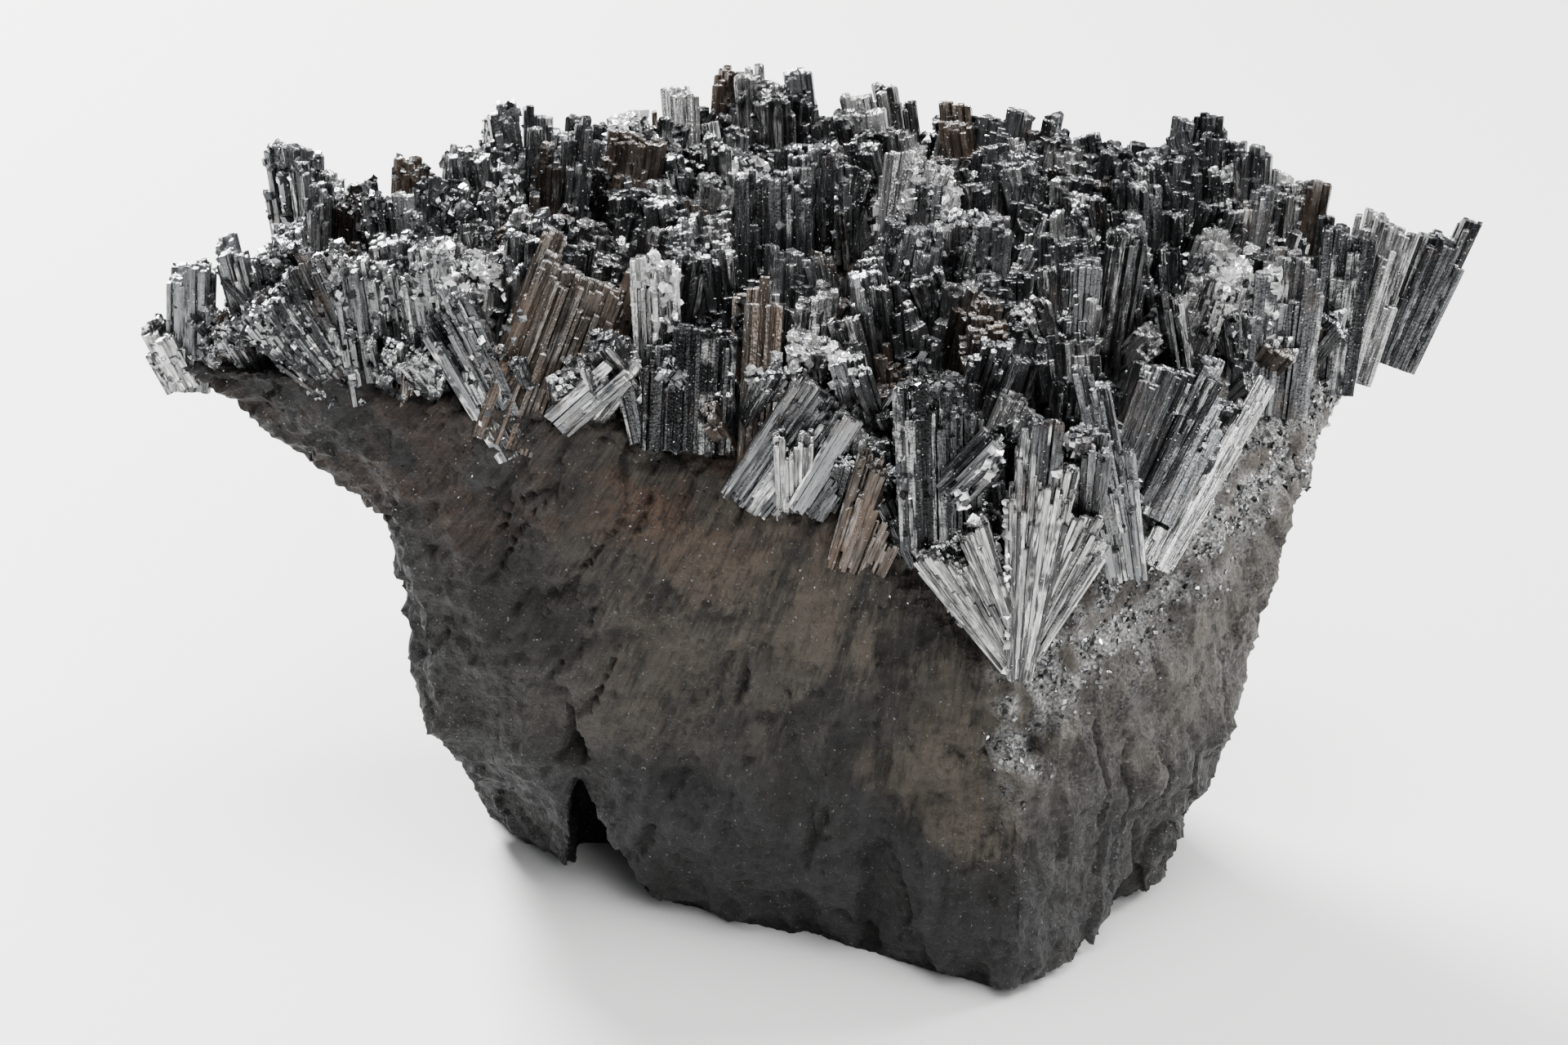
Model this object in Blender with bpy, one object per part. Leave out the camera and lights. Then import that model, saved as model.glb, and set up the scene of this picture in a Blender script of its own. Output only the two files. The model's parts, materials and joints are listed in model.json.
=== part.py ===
"""A pyrolusite specimen: a block of massive fibrous ore under a crust of steel-black crystal sheaves.

The block is an upright wedge that flares outwards from a small foot. Its top carries sheaves of
prismatic crystals, each sheaf a bundle of parallel prisms with flat, stepped ends. The front ridge
of the block points to -Y, the left tip to -X and the right wing to +X. Sizes are in millimetres and
become metres in the meshes. The origin is under the middle of the specimen, on its resting face.
"""

import math
import random
from dataclasses import dataclass

import bmesh
import bpy
from mathutils import Matrix, Vector, noise
from mathutils.bvhtree import BVHTree

MM = 0.001
GAP = 0.3  # clearance between neighbouring solids
CENTRE = Vector((1.76, -3.49, 0.0))  # middle of the footprint, where the origin goes

# The ore block. Each station is one vertical line down its side, anticlockwise from the front
# ridge: x and y at the foot, the waist and the shoulder, then x, y and z at the rim.
STATIONS = {
    "front_ridge": ((11.5, -19.3), (11.8, -19.6), (11.5, -19.5), (11.0, -19.2, 18.5)),
    "right_near": ((15.0, -15.8), (15.8, -16.0), (15.6, -16.6), (15.2, -16.4, 21.0)),
    "right_mid": ((20.4, -8.1), (21.8, -10.8), (22.6, -10.8), (21.5, -11.0, 25.0)),
    "right_far": ((21.5, -3.5), (23.3, -8.0), (26.0, -6.8), (27.0, -6.0, 28.0)),
    "right_wing": ((19.0, 2.0), (21.5, 0.5), (27.0, -1.0), (33.2, -0.4, 30.0)),
    "back_right": ((14.0, 7.0), (16.0, 7.5), (21.0, 8.0), (27.0, 7.0, 31.5)),
    "back_mid": ((5.0, 9.5), (6.0, 10.5), (9.0, 12.0), (12.0, 12.0, 32.5)),
    "back_near_left": ((-5.0, 9.0), (-5.5, 10.0), (-5.0, 12.5), (-4.0, 13.0, 32.5)),
    "back_left": ((-12.5, 5.5), (-14.0, 6.5), (-15.0, 8.5), (-18.0, 8.0, 32.0)),
    "left_back": ((-16.5, 0.5), (-18.5, 0.0), (-20.0, 1.5), (-28.0, 1.5, 31.5)),
    "left_tip": ((-16.5, -3.0), (-19.5, -5.5), (-21.0, -6.5), (-32.0, -6.8, 30.3)),
    "left_lip": ((-14.4, -4.7), (-17.5, -8.3), (-19.5, -9.8), (-25.0, -9.4, 30.8)),
    "left_face_1": ((-9.5, -8.6), (-11.5, -11.2), (-12.5, -12.4), (-16.5, -12.2, 30.3)),
    "left_face_2": ((-2.6, -12.6), (-3.0, -14.6), (-3.5, -15.4), (-7.5, -13.2, 29.3)),
    "left_face_3": ((4.3, -15.6), (4.4, -17.0), (3.8, -17.2), (1.0, -16.0, 25.2)),
    "left_face_4": ((8.0, -17.6), (8.0, -18.6), (7.9, -18.7), (7.2, -18.4, 21.8)),
}
WAIST = 0.27  # height of the waist and the shoulder, as shares of the rim's height
SHOULDER = 0.72
COLUMNS_PER_SIDE = 4
SIDE_ROWS = 11
FOOT_BEVEL = (0.9, 1.0 / 30)  # the resting face over the foot's outline, and the bevel's share of the height
TOP_RINGS = (0.86, 0.68)
CHAMFER_SHARE = 0.32  # share of the way in from the rim over which the top reaches its full height
TOP_CENTRE = Vector((1.0, -2.0))
TOP_LEVEL = 32.4
TOP_RISE = 0.17  # rise of the top per millimetre towards the back
LUMP = (1.0, 0.13)  # height and frequency of the broad lumps on the broken faces
LEDGE = (0.75, 0.34)  # the same of the sharper ledges between them
LEDGE_SHARPNESS = 2.2
FLUTE = (0.55, 0.5)  # the same of the upright flutes
FLUTE_LENGTHENING = 0.05  # frequency of the flutes along their length
FLUTE_FADE = (14.0, 20.0)  # levels between which the flutes fade

# The deep notch in the foot of the left face: x and z of its apex, and x of its two feet.
NOTCH_APEX = (-11.0, 11.0)
NOTCH_FEET = (-12.2, -3.6)
NOTCH_FRONT = -18.0
NOTCH_BACK = -3.5
NOTCH_TOP_WIDTH = 0.3
NOTCH_RISES = (1.2, 0.4)  # the cutter's top at its front and at its back, over the apex's height
NOTCH_NARROWING = 0.3  # width at the back over the width at the front
NOTCH_DEPTH_BELOW = 1.0  # how far the cutter reaches under the foot
# Bites out of the foot's edge: x, y, radius at the foot and height.
BITE_TAPER = (1.15, 0.3)  # a bite's radius under the foot and at its top, over the one at the foot
BITE_START = 1.0  # how far a bite starts under the foot
BITE_SIDES = 6
BITES = (
    (-15.2, -5.6, 2.2, 3.0),
    (-3.4, -13.6, 2.1, 2.8),
    (1.0, -15.2, 2.6, 4.0),
    (6.2, -17.9, 2.2, 3.2),
    (9.8, -19.4, 1.6, 2.4),
    (18.6, -11.9, 2.4, 3.0),
)


@dataclass
class Prism:
    """One four-sided crystal, in mm.

    start is the middle of its lower end, direction its axis, side the way its width points, foot
    and head the width and depth at its ends, and slope the rise of its end each way.
    """

    start: Vector
    direction: Vector
    side: Vector
    reach: float
    foot: tuple
    head: tuple
    slope: tuple = (0.0, 0.0)

    def shape(self, grow=0.0):
        """Its solid, larger all round by grow."""
        bm = bmesh.new()
        across = (self.side - self.direction * self.side.dot(self.direction)).normalized()
        back = self.direction.cross(across)
        for vert in bmesh.ops.create_cube(bm, size=1.0)["verts"]:
            is_head = vert.co.z > 0
            width, depth = self.head if is_head else self.foot
            u = math.copysign(width / 2 + grow, vert.co.x)
            v = math.copysign(depth / 2 + grow, vert.co.y)
            along = self.reach + grow + u * self.slope[0] + v * self.slope[1] if is_head else 0.0
            vert.co = self.start + across * u + back * v + self.direction * along
        return bm

    def box(self):
        """Its lowest and highest corners, with room for the gap."""
        ends = (self.start, self.start + self.direction * self.reach)
        room = max(*self.foot, *self.head) * 0.75 + 2 * GAP
        low = Vector(min(e[i] for e in ends) - room for i in range(3))
        high = Vector(max(e[i] for e in ends) + room for i in range(3))
        return low, high


@dataclass
class Sheaf:
    """One bundle of parallel or spreading prisms, in mm.

    root and tip are the ends of its axis, width and depth its section at the tip, across and
    through the number of prisms each way, root_share the root's section over the tip's, step the
    share of the length by which the ends differ, and turn the roll about its own axis in degrees.
    """

    root: tuple
    tip: tuple
    width: float
    depth: float
    across: int
    through: int = 1
    root_share: float = 1.0
    step: float = 0.25
    turn: float = 0.0

    def axes(self):
        """Its side, back and own axis, and its length."""
        axis = Vector(self.tip) - Vector(self.root)
        length = axis.length
        axis.normalize()
        side = Matrix.Rotation(math.radians(self.turn), 3, axis) @ axis.cross(Vector((0, 1, 0))).normalized()
        return side, axis.cross(side), axis, length

    def prisms(self, name):
        """Its prisms. Each differs a little in section, length and end from its neighbours."""
        side, back, axis, length = self.axes()
        made = []
        for i in range(self.across):
            for j in range(self.through):
                chance = random.Random(f"{name} {i} {j}")
                u = ((i + 0.5) / self.across - 0.5) * self.width
                v = ((j + 0.5) / self.through - 0.5 + chance.uniform(-0.08, 0.08)) * self.depth
                offset = side * u + back * v
                direction = (axis * length + offset * (1 - self.root_share)).normalized()
                reach = length * (1 - self.step * chance.random())
                width = self.width / self.across * chance.uniform(1.06, 1.16)
                depth = self.depth / self.through * chance.uniform(0.85, 1.2)
                slope = (chance.uniform(-SLOPE, SLOPE), chance.uniform(-SLOPE, SLOPE))
                start = Vector(self.root) + offset * self.root_share
                section = (width, depth)
                made.append(Prism(start, direction, side, reach, section, section, slope))
        return made

    def envelope(self):
        """One tapering prism around all of its prisms, for clearing its neighbours."""
        side, back, axis, length = self.axes()
        wide = self.width * (1 - 1 / self.across), self.depth * (1 - 1 / self.through + 0.16)
        own = self.width / self.across * 1.24, self.depth / self.through * 1.26
        foot = tuple(w * self.root_share + o for w, o in zip(wide, own))
        head = tuple(w + o for w, o in zip(wide, own))
        start = Vector(self.root) - axis * 3 * GAP
        return Prism(start, axis, side, length + 4 * GAP, foot, head)


# The sheaves that stand apart, by node, front row first.
SHEAVES = {
    "front_spray": [
        Sheaf((11.6, -18.9, 18.8), (12.4, -17.9, 30.0), 3.6, 2.2, 4, 1, 0.45, 0.2),
        Sheaf((11.4, -18.5, 19.2), (7.6, -19.0, 27.2), 4.4, 1.8, 3, 1, 0.3, 0.3),
        Sheaf((12.0, -18.6, 20.2), (15.3, -17.6, 27.6), 3.2, 1.8, 3, 1, 0.4, 0.3),
        Sheaf((12.0, -18.2, 26.0), (12.5, -17.6, 32.8), 2.0, 1.4, 2, 1, 0.9, 0.25),
    ],
    "dark_front_sheaf": [
        Sheaf((7.6, -17.0, 26.0), (7.4, -15.8, 33.6), 4.4, 2.6, 3, 1, 0.9, 0.3),
        Sheaf((8.0, -18.6, 28.6), (10.9, -18.4, 31.8), 1.7, 1.3, 2),
    ],
    "brown_slab": [Sheaf((3.6, -16.2, 23.6), (5.7, -16.9, 30.2), 3.8, 1.6, 3, 1, 0.75, 0.2)],
    "grey_slab": [
        Sheaf((-1.8, -14.2, 26.2), (2.2, -14.7, 32.5), 3.4, 1.8, 3, 1, 0.8, 0.15),
        Sheaf((1.2, -15.0, 26.2), (4.3, -15.8, 32.0), 2.6, 1.4, 2, 1, 0.8, 0.2),
    ],
    "granular_knob": [
        Sheaf((14.2, -16.0, 27.0), (14.0, -17.9, 31.9), 3.2, 2.6, 3, 2, 0.8, 0.15),
    ],
    "plate_sheaf": [
        Sheaf((16.4, -15.8, 26.2), (14.7, -14.6, 33.9), 1.6, 1.6, 2, 1, 0.9, 0.2),
        Sheaf((17.0, -15.6, 22.8), (15.8, -15.9, 30.0), 2.4, 1.4, 2, 1, 0.8, 0.2),
    ],
    "right_sheaf": [
        Sheaf((17.2, -13.2, 26.8), (20.0, -11.0, 33.3), 4.6, 2.6, 4, 1, 0.7, 0.25),
        Sheaf((18.8, -13.2, 25.4), (22.3, -9.8, 31.8), 2.4, 1.8, 2, 1, 0.8, 0.25),
    ],
    "rim_blade": [Sheaf((18.6, -14.0, 22.6), (23.9, -8.6, 30.6), 2.4, 1.3, 3, 1, 0.7, 0.3)],
    "stepped_block": [
        Sheaf((-4.8, -13.0, 29.4), (-4.5, -11.8, 35.6), 4.4, 3.0, 3, 2, 1.0, 0.35),
        Sheaf((-7.2, -12.8, 29.6), (-8.2, -11.6, 35.0), 1.4, 1.0, 2, 1, 0.8, 0.2),
        Sheaf((-6.2, -10.8, 31.2), (-6.4, -10.2, 37.8), 2.3, 1.7, 2, 1, 1.0, 0.1),
    ],
    "brown_columns": [Sheaf((-1.8, -13.0, 28.4), (-1.3, -9.7, 36.6), 2.8, 2.4, 3, 1, 1.0, 0.2)],
    "striated_sheaf": [
        Sheaf((-12.7, -11.2, 28.4), (-8.9, -9.1, 38.0), 5.8, 2.8, 5, 1, 1.0, 0.22),
        Sheaf((-10.6, -12.5, 30.2), (-7.4, -13.0, 33.4), 1.8, 1.5, 2, 1, 0.9, 0.2),
    ],
    "left_sheaf": [Sheaf((-13.6, -11.8, 28.4), (-17.3, -10.4, 36.2), 3.2, 2.0, 4, 1, 0.6, 0.3)],
    "left_fan": [
        Sheaf((-22.2, -8.9, 30.2), (-26.4, -7.2, 36.2), 7.2, 2.6, 5, 1, 0.35, 0.25),
        Sheaf((-25.6, -5.2, 30.8), (-26.8, -4.6, 37.4), 4.6, 2.6, 3, 1, 0.9, 0.3),
    ],
    "left_crust": [
        Sheaf((-19.8, -7.8, 30.2), (-20.6, -7.2, 37.4), 7.6, 4.4, 4, 2, 1.0, 0.18),
    ],
    "left_tip_sheaf": [
        Sheaf((-30.4, -5.9, 29.6), (-29.9, -5.7, 35.9), 2.2, 2.4, 2, 1, 1.0, 0.2),
        Sheaf((-31.0, -6.2, 29.8), (-32.3, -6.4, 33.0), 1.6, 2.0, 2, 1, 1.0, 0.3),
    ],
    "tall_block": [
        Sheaf((-0.5, -4.8, 31.6), (-0.5, -3.6, 39.8), 3.8, 2.6, 3, 1, 1.0, 0.2),
        Sheaf((3.2, -5.0, 31.4), (3.5, -3.8, 39.6), 2.8, 2.4, 2, 1, 1.0, 0.12),
        Sheaf((1.0, -2.2, 32.0), (1.0, -1.2, 40.6), 3.0, 2.2, 2, 1, 1.0, 0.1),
    ],
    "bright_fan": [Sheaf((5.8, -1.6, 31.8), (7.8, 1.2, 38.6), 5.2, 2.4, 4, 1, 0.5, 0.2)],
    "right_columns": [
        Sheaf((22.0, -8.8, 27.6), (22.2, -7.8, 35.4), 4.0, 2.4, 3, 1, 0.9, 0.2),
        Sheaf((25.2, -5.8, 28.0), (25.8, -4.4, 36.2), 3.6, 2.6, 3, 1, 0.9, 0.15),
        Sheaf((28.2, -3.4, 28.2), (28.8, -2.2, 36.4), 2.9, 2.4, 2, 1, 0.9, 0.2),
    ],
    "wing_sheaf": [
        Sheaf((29.4, -2.4, 28.4), (31.4, -0.4, 36.2), 3.2, 2.4, 3, 1, 0.8, 0.25),
        Sheaf((32.2, -1.2, 28.6), (35.0, 0.4, 35.9), 2.8, 2.2, 3, 1, 0.75, 0.3),
    ],
}

# The druse: crowded upright prisms on a bed of crystal, all over the rest of the top.
BED_RINGS = ((0.85, 1.3), (0.7, 2.2))  # share of the rim and height over the block
BED_CLEARANCE = 0.39  # height of the bed's underside over the block
BED_UNEVENNESS = 0.6
DRUSE_SEED = 10
DRUSE_PITCH = 3.5
DRUSE_ROW_SHARE = 0.87  # distance between rows over the pitch
DRUSE_CORNER = (-34, -20)  # where the grid starts, in mm
DRUSE_SPAN = (70, 36)  # its size
DRUSE_JITTER = 0.2  # how far a spot strays, over the pitch
DRUSE_SECTION = (3.0, 2.5)
DRUSE_LENGTHS = (4.2, 8.2)
DRUSE_LEVEL = 41.0  # no prism of the druse aims higher than this
DRUSE_LEAN = 0.17  # most sideways reach of a prism, as a share of its length
DRUSE_DROOP = 0.3  # how much lower a leaning prism ends, over its sideways reach
DRUSE_SIZES = (0.85, 1.2)
DRUSE_TURN = 45
DRUSE_STEP = 0.3
DRUSE_START = 0.9  # height of a prism's lower end over the block, inside the bed
RIM_START = -1.5  # the same at the rim, inside the block
DRUSE_EDGE = 0.84  # share of the rim beyond which prisms start inside the block instead
RAY_START = 60.0  # a level above everything, where rays down onto the block begin
RIM_MARGIN = 0.95  # druse roots stay within this share of the rim
CLEARANCE = 1.3  # the druse has no prism this near the axis of a sheaf that stands apart

SLOPE = 0.22  # steepest slope of a prism's end
CUTTER_GROWTH = 1.2  # growth of the block that cuts the crystals' roots, over the gap

ORE_COLOUR = (0.085, 0.068, 0.055)
CRYSTAL_COLOUR = (0.30, 0.31, 0.32)


def make_material(name, colour, roughness, metallic):
    """A plain Principled material."""
    material = bpy.data.materials.new(name)
    material.use_nodes = True
    shader = material.node_tree.nodes["Principled BSDF"]
    shader.inputs["Base Color"].default_value = (*colour, 1.0)
    shader.inputs["Roughness"].default_value = roughness
    shader.inputs["Metallic"].default_value = metallic
    return material


def add_object(name, mesh, collection, material=None):
    """Puts a mesh into the scene as a named object."""
    obj = bpy.data.objects.new(name, mesh)
    collection.objects.link(obj)
    if material:
        mesh.materials.append(material)
    return obj


def mesh_of(bm, name):
    """The bmesh as a new mesh in metres, with its faces pointing out."""
    bm.normal_update()
    bmesh.ops.recalc_face_normals(bm, faces=bm.faces)
    bmesh.ops.scale(bm, vec=(MM, MM, MM), verts=bm.verts)
    mesh = bpy.data.meshes.new(name)
    bm.to_mesh(mesh)
    bm.free()
    return mesh


def smooth(share):
    """An ease from 0 to 1."""
    share = max(0.0, min(1.0, share))
    return share * share * (3 - 2 * share)


def station_point(station, share):
    """The point on a station's line at that share of the rim's height."""
    foot, waist, shoulder, rim = station
    keys = ((0.0, foot), (WAIST, waist), (SHOULDER, shoulder), (1.0, rim[:2]))
    for (low, a), (high, b) in zip(keys, keys[1:]):
        if share <= high:
            part = (share - low) / (high - low)
            flat = Vector(a).lerp(Vector(b), part)
            return Vector((flat.x, flat.y, rim[2] * share))
    return Vector(rim)


def ring_at(share):
    """The block's outline at that share of its height, with points spaced along each side."""
    corners = [station_point(station, share) for station in STATIONS.values()]
    ring = []
    for a, b in zip(corners, corners[1:] + corners[:1]):
        ring += [a.lerp(b, i / COLUMNS_PER_SIDE) for i in range(COLUMNS_PER_SIDE)]
    return ring


def top_height(x, y):
    """Height of the block's top, away from its rim."""
    return TOP_LEVEL + TOP_RISE * (y - TOP_CENTRE.y)


def top_ring(rim, share):
    """The rim drawn in towards the middle of the top and lifted to the top's height."""
    ring = []
    for point in rim:
        flat = TOP_CENTRE.lerp(point.xy, share)
        lift = smooth((1 - share) / CHAMFER_SHARE)
        height = point.z + (top_height(*flat) - point.z) * lift
        ring.append(Vector((flat.x, flat.y, height)))
    return ring


def relief(place):
    """How far the broken surface stands out at a point, from lumps, sharp ledges and flutes."""
    lump = noise.fractal(place * LUMP[1], 1.0, 2.0, 3) * LUMP[0]
    ridge = 0.5 - abs(noise.noise(place * LEDGE[1] + Vector((7, 3, 1)))) * LEDGE_SHARPNESS
    upright = Vector((place.x * FLUTE[1], place.y * FLUTE[1], place.z * FLUTE_LENGTHENING))
    low, high = FLUTE_FADE
    flute = noise.noise(upright) * FLUTE[0] * smooth((high - place.z) / (high - low))
    return lump + ridge * LEDGE[0] + flute


def roughen(bm, fixed):
    """Moves every point but the fixed ones along its normal, by the relief there."""
    bm.normal_update()
    moved = {v: v.co + v.normal * relief(v.co) for v in bm.verts if v not in fixed}
    for vert, place in moved.items():
        vert.co = place


def block_shape():
    """The ore block as a loft through its outlines, closed by the resting face and the top."""
    inset, bevel_share = FOOT_BEVEL
    foot = ring_at(0.0)
    middle = sum(foot, Vector()) / len(foot)
    resting = [p.lerp(middle, 1 - inset) for p in foot]
    rows = [bevel_share + (1 - bevel_share) * i / (SIDE_ROWS - 1) for i in range(SIDE_ROWS)]
    sides = [ring_at(share) for share in rows]
    tops = [top_ring(sides[-1], share) for share in TOP_RINGS]

    bm = bmesh.new()
    rings = [[bm.verts.new(p) for p in ring] for ring in [resting, *sides, *tops]]
    for low, high in zip(rings, rings[1:]):
        count = len(low)
        for i in range(count):
            j = (i + 1) % count
            bm.faces.new((low[i], low[j], high[j], high[i]))
    summit = bm.verts.new((*TOP_CENTRE, top_height(*TOP_CENTRE)))
    last = rings[-1]
    for i in range(len(last)):
        bm.faces.new((last[i], last[(i + 1) % len(last)], summit))
    bm.faces.new(list(reversed(rings[0])))
    roughen(bm, {*rings[0], *rings[-2], *last, summit})
    bmesh.ops.triangulate(bm, faces=[f for f in bm.faces if len(f.verts) == 4])
    return bm


def notch_shape():
    """The wedge that is cut up into the foot of the left face, shallower towards its back."""
    bm = bmesh.new()
    bmesh.ops.create_cube(bm, size=1.0)
    for vert in bm.verts:
        is_top, is_back, is_right = vert.co.z > 0, vert.co.y > 0, vert.co.x > 0
        half = NOTCH_TOP_WIDTH / 2
        x = NOTCH_APEX[0] + (half if is_right else -half) if is_top else NOTCH_FEET[is_right]
        if is_back:
            x = NOTCH_APEX[0] + (x - NOTCH_APEX[0]) * NOTCH_NARROWING
        z = NOTCH_APEX[1] * NOTCH_RISES[is_back] if is_top else -NOTCH_DEPTH_BELOW
        vert.co = Vector((x, NOTCH_BACK if is_back else NOTCH_FRONT, z))
    return bm


def bite_shape(x, y, radius, height):
    """A blunt cone that takes a bite out of the foot's edge."""
    bm = bmesh.new()
    middle = (height - BITE_START) / 2
    place = Matrix.Translation((x, y, middle)) @ Matrix.Rotation(x, 4, "Z")
    bmesh.ops.create_cone(
        bm,
        cap_ends=True,
        segments=BITE_SIDES,
        radius1=radius * BITE_TAPER[0],
        radius2=radius * BITE_TAPER[1],
        depth=height + BITE_START,
        matrix=place,
    )
    return bm


def applied(obj):
    """The object with its modifiers made part of its mesh."""
    graph = bpy.context.evaluated_depsgraph_get()
    mesh = bpy.data.meshes.new_from_object(obj.evaluated_get(graph))
    obj.modifiers.clear()
    old, obj.data = obj.data, mesh
    bpy.data.meshes.remove(old)
    return obj


def boolean(obj, other, operation, solver="MANIFOLD"):
    """One Boolean of obj with other, which is used up.

    The crystals take the MANIFOLD solver, as EXACT loses a body where faces nearly share a plane.
    """
    modifier = obj.modifiers.new(operation.lower(), "BOOLEAN")
    modifier.operation = operation
    modifier.object = other
    modifier.solver = solver
    applied(obj)
    bpy.data.objects.remove(other)


def keep_largest(obj):
    """Keeps the largest of an object's separate bodies, as a cut can leave chips."""
    bm = bmesh.new()
    bm.from_mesh(obj.data)
    waiting, bodies = set(bm.faces), []
    while waiting:
        body, border = set(), [waiting.pop()]
        while border:
            face = border.pop()
            body.add(face)
            near = {other for edge in face.edges for other in edge.link_faces} & waiting
            waiting -= near
            border += near
        bodies.append(body)
    bodies.sort(key=len)
    bmesh.ops.delete(bm, geom=[f for body in bodies[:-1] for f in body], context="FACES")
    bm.to_mesh(obj.data)
    bm.free()


def distance_to_axis(point, sheaf):
    """How far a flat point is from the plan of a sheaf's lower half."""
    root, tip = Vector(sheaf.root[:2]), Vector(sheaf.tip[:2])
    half = (tip - root) * 0.5
    along = (point - root).dot(half) / max(half.length_squared, 1e-6)
    return (point - root - half * max(0.0, min(1.0, along))).length


def bed_shape():
    """The mass of crystal that the druse's prisms stand in, as a low slab over the block's top."""
    rim = [Vector(station[3]) for station in STATIONS.values()]
    lift = Vector((0, 0, BED_CLEARANCE))
    under = [[p + lift for p in top_ring(rim, share)] for share in reversed(TOP_RINGS)]
    over = []
    for share, height in BED_RINGS:
        rise = [height + noise.noise(p) * BED_UNEVENNESS for p in top_ring(rim, share)]
        over.append([p + Vector((0, 0, up)) for p, up in zip(top_ring(rim, share), rise)])
    bm = bmesh.new()
    rings = [[bm.verts.new(p) for p in ring] for ring in under + over]
    for low, high in zip(rings, rings[1:]):
        for i in range(len(low)):
            j = (i + 1) % len(low)
            bm.faces.new((low[i], low[j], high[j]))
            bm.faces.new((low[i], high[j], high[i]))
    for ring, height in ((rings[0], BED_CLEARANCE), (rings[-1], BED_RINGS[-1][1])):
        middle = bm.verts.new((*TOP_CENTRE, top_height(*TOP_CENTRE) + height))
        for i in range(len(ring)):
            bm.faces.new((ring[i], ring[(i + 1) % len(ring)], middle))
    return bm


def druse_prisms(block_top):
    """The druse's prisms: one at each free spot of a jittered grid on the block's top."""
    chance = random.Random(DRUSE_SEED)
    rim = [Vector(station[3][:2]) for station in STATIONS.values()]
    standing = [sheaf for sheaves in SHEAVES.values() for sheaf in sheaves]
    made = []
    row_pitch = DRUSE_PITCH * DRUSE_ROW_SHARE
    jitter = (-DRUSE_JITTER, DRUSE_JITTER)
    for row in range(round(DRUSE_SPAN[1] / row_pitch)):
        for column in range(round(DRUSE_SPAN[0] / DRUSE_PITCH)):
            x = DRUSE_CORNER[0] + (column + 0.5 * (row % 2) + chance.uniform(*jitter)) * DRUSE_PITCH
            y = DRUSE_CORNER[1] + (row + chance.uniform(*jitter)) * row_pitch
            length = chance.uniform(*DRUSE_LENGTHS)
            lean = Vector((chance.uniform(-1, 1), chance.uniform(-1, 1))) * DRUSE_LEAN * length
            size = chance.uniform(*DRUSE_SIZES)
            turn = chance.uniform(-DRUSE_TURN, DRUSE_TURN)
            spot = Vector((x, y))
            if not inside(TOP_CENTRE.lerp(spot, 1 / RIM_MARGIN), rim):
                continue
            if any(distance_to_axis(spot, sheaf) < CLEARANCE for sheaf in standing):
                continue
            floor = height_under(block_top, x, y)
            is_inner = inside(TOP_CENTRE.lerp(spot, 1 / DRUSE_EDGE), rim)
            root = (x, y, floor + (DRUSE_START if is_inner else RIM_START))
            top = min(floor + length, DRUSE_LEVEL) - lean.length * DRUSE_DROOP
            tip = (x + lean.x, y + lean.y, top)
            width, depth = (size * s for s in DRUSE_SECTION)
            crystal = Sheaf(root, tip, width, depth, 1, step=DRUSE_STEP, turn=turn)
            made += crystal.prisms(f"{row} {column}")
    return made


def inside(point, outline):
    """Whether a flat point lies inside an outline."""
    crossings = 0
    for a, b in zip(outline, outline[1:] + outline[:1]):
        if (a.y > point.y) != (b.y > point.y):
            if point.x < a.x + (b.x - a.x) * (point.y - a.y) / (b.y - a.y):
                crossings += 1
    return crossings % 2 == 1


def height_under(tree, x, y):
    """Height in mm of the block's surface under a point, from a ray cast down on it."""
    hit = tree.ray_cast(Vector((x, y, RAY_START)) * MM, Vector((0, 0, -1)))[0]
    return hit.z / MM


def grown_block(block):
    """A mesh of the ore block, larger by the gap, for cutting the crystals' roots."""
    bm = bmesh.new()
    bm.from_mesh(block.data)
    bm.normal_update()
    moves = [(v, v.co + v.normal * GAP * CUTTER_GROWTH * MM) for v in bm.verts]
    for vert, place in moves:
        vert.co = place
    mesh = bpy.data.meshes.new("grown_block")
    bm.to_mesh(mesh)
    bm.free()
    return mesh


def boxes_meet(a, b):
    """Whether two (low, high) boxes overlap."""
    return all(a[0][i] < b[1][i] and b[0][i] < a[1][i] for i in range(3))


def cut_foot(block, collection):
    """Cuts the deep notch and the small bites into the block's foot."""
    for shape in [notch_shape(), *(bite_shape(*bite) for bite in BITES)]:
        cutter = add_object("cutter", mesh_of(shape, "cutter"), collection)
        boolean(block, cutter, "DIFFERENCE", solver="EXACT")
    keep_largest(block)


def build_crystals(name, shapes, standing, block_cutter, collection, material):
    """One node of crystals: its shapes joined, then cleared of standing sheaves and the block."""
    obj = add_object(name, mesh_of(shapes[0], name), collection, material)
    for shape in shapes[1:]:
        boolean(obj, add_object("crystal", mesh_of(shape, "crystal"), collection), "UNION")
    for sheaf in standing:
        cutter = mesh_of(sheaf.envelope().shape(grow=GAP), "cutter")
        boolean(obj, add_object("cutter", cutter, collection), "DIFFERENCE")
    boolean(obj, add_object("cutter", block_cutter.copy(), collection), "DIFFERENCE")
    keep_largest(obj)
    return obj


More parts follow.
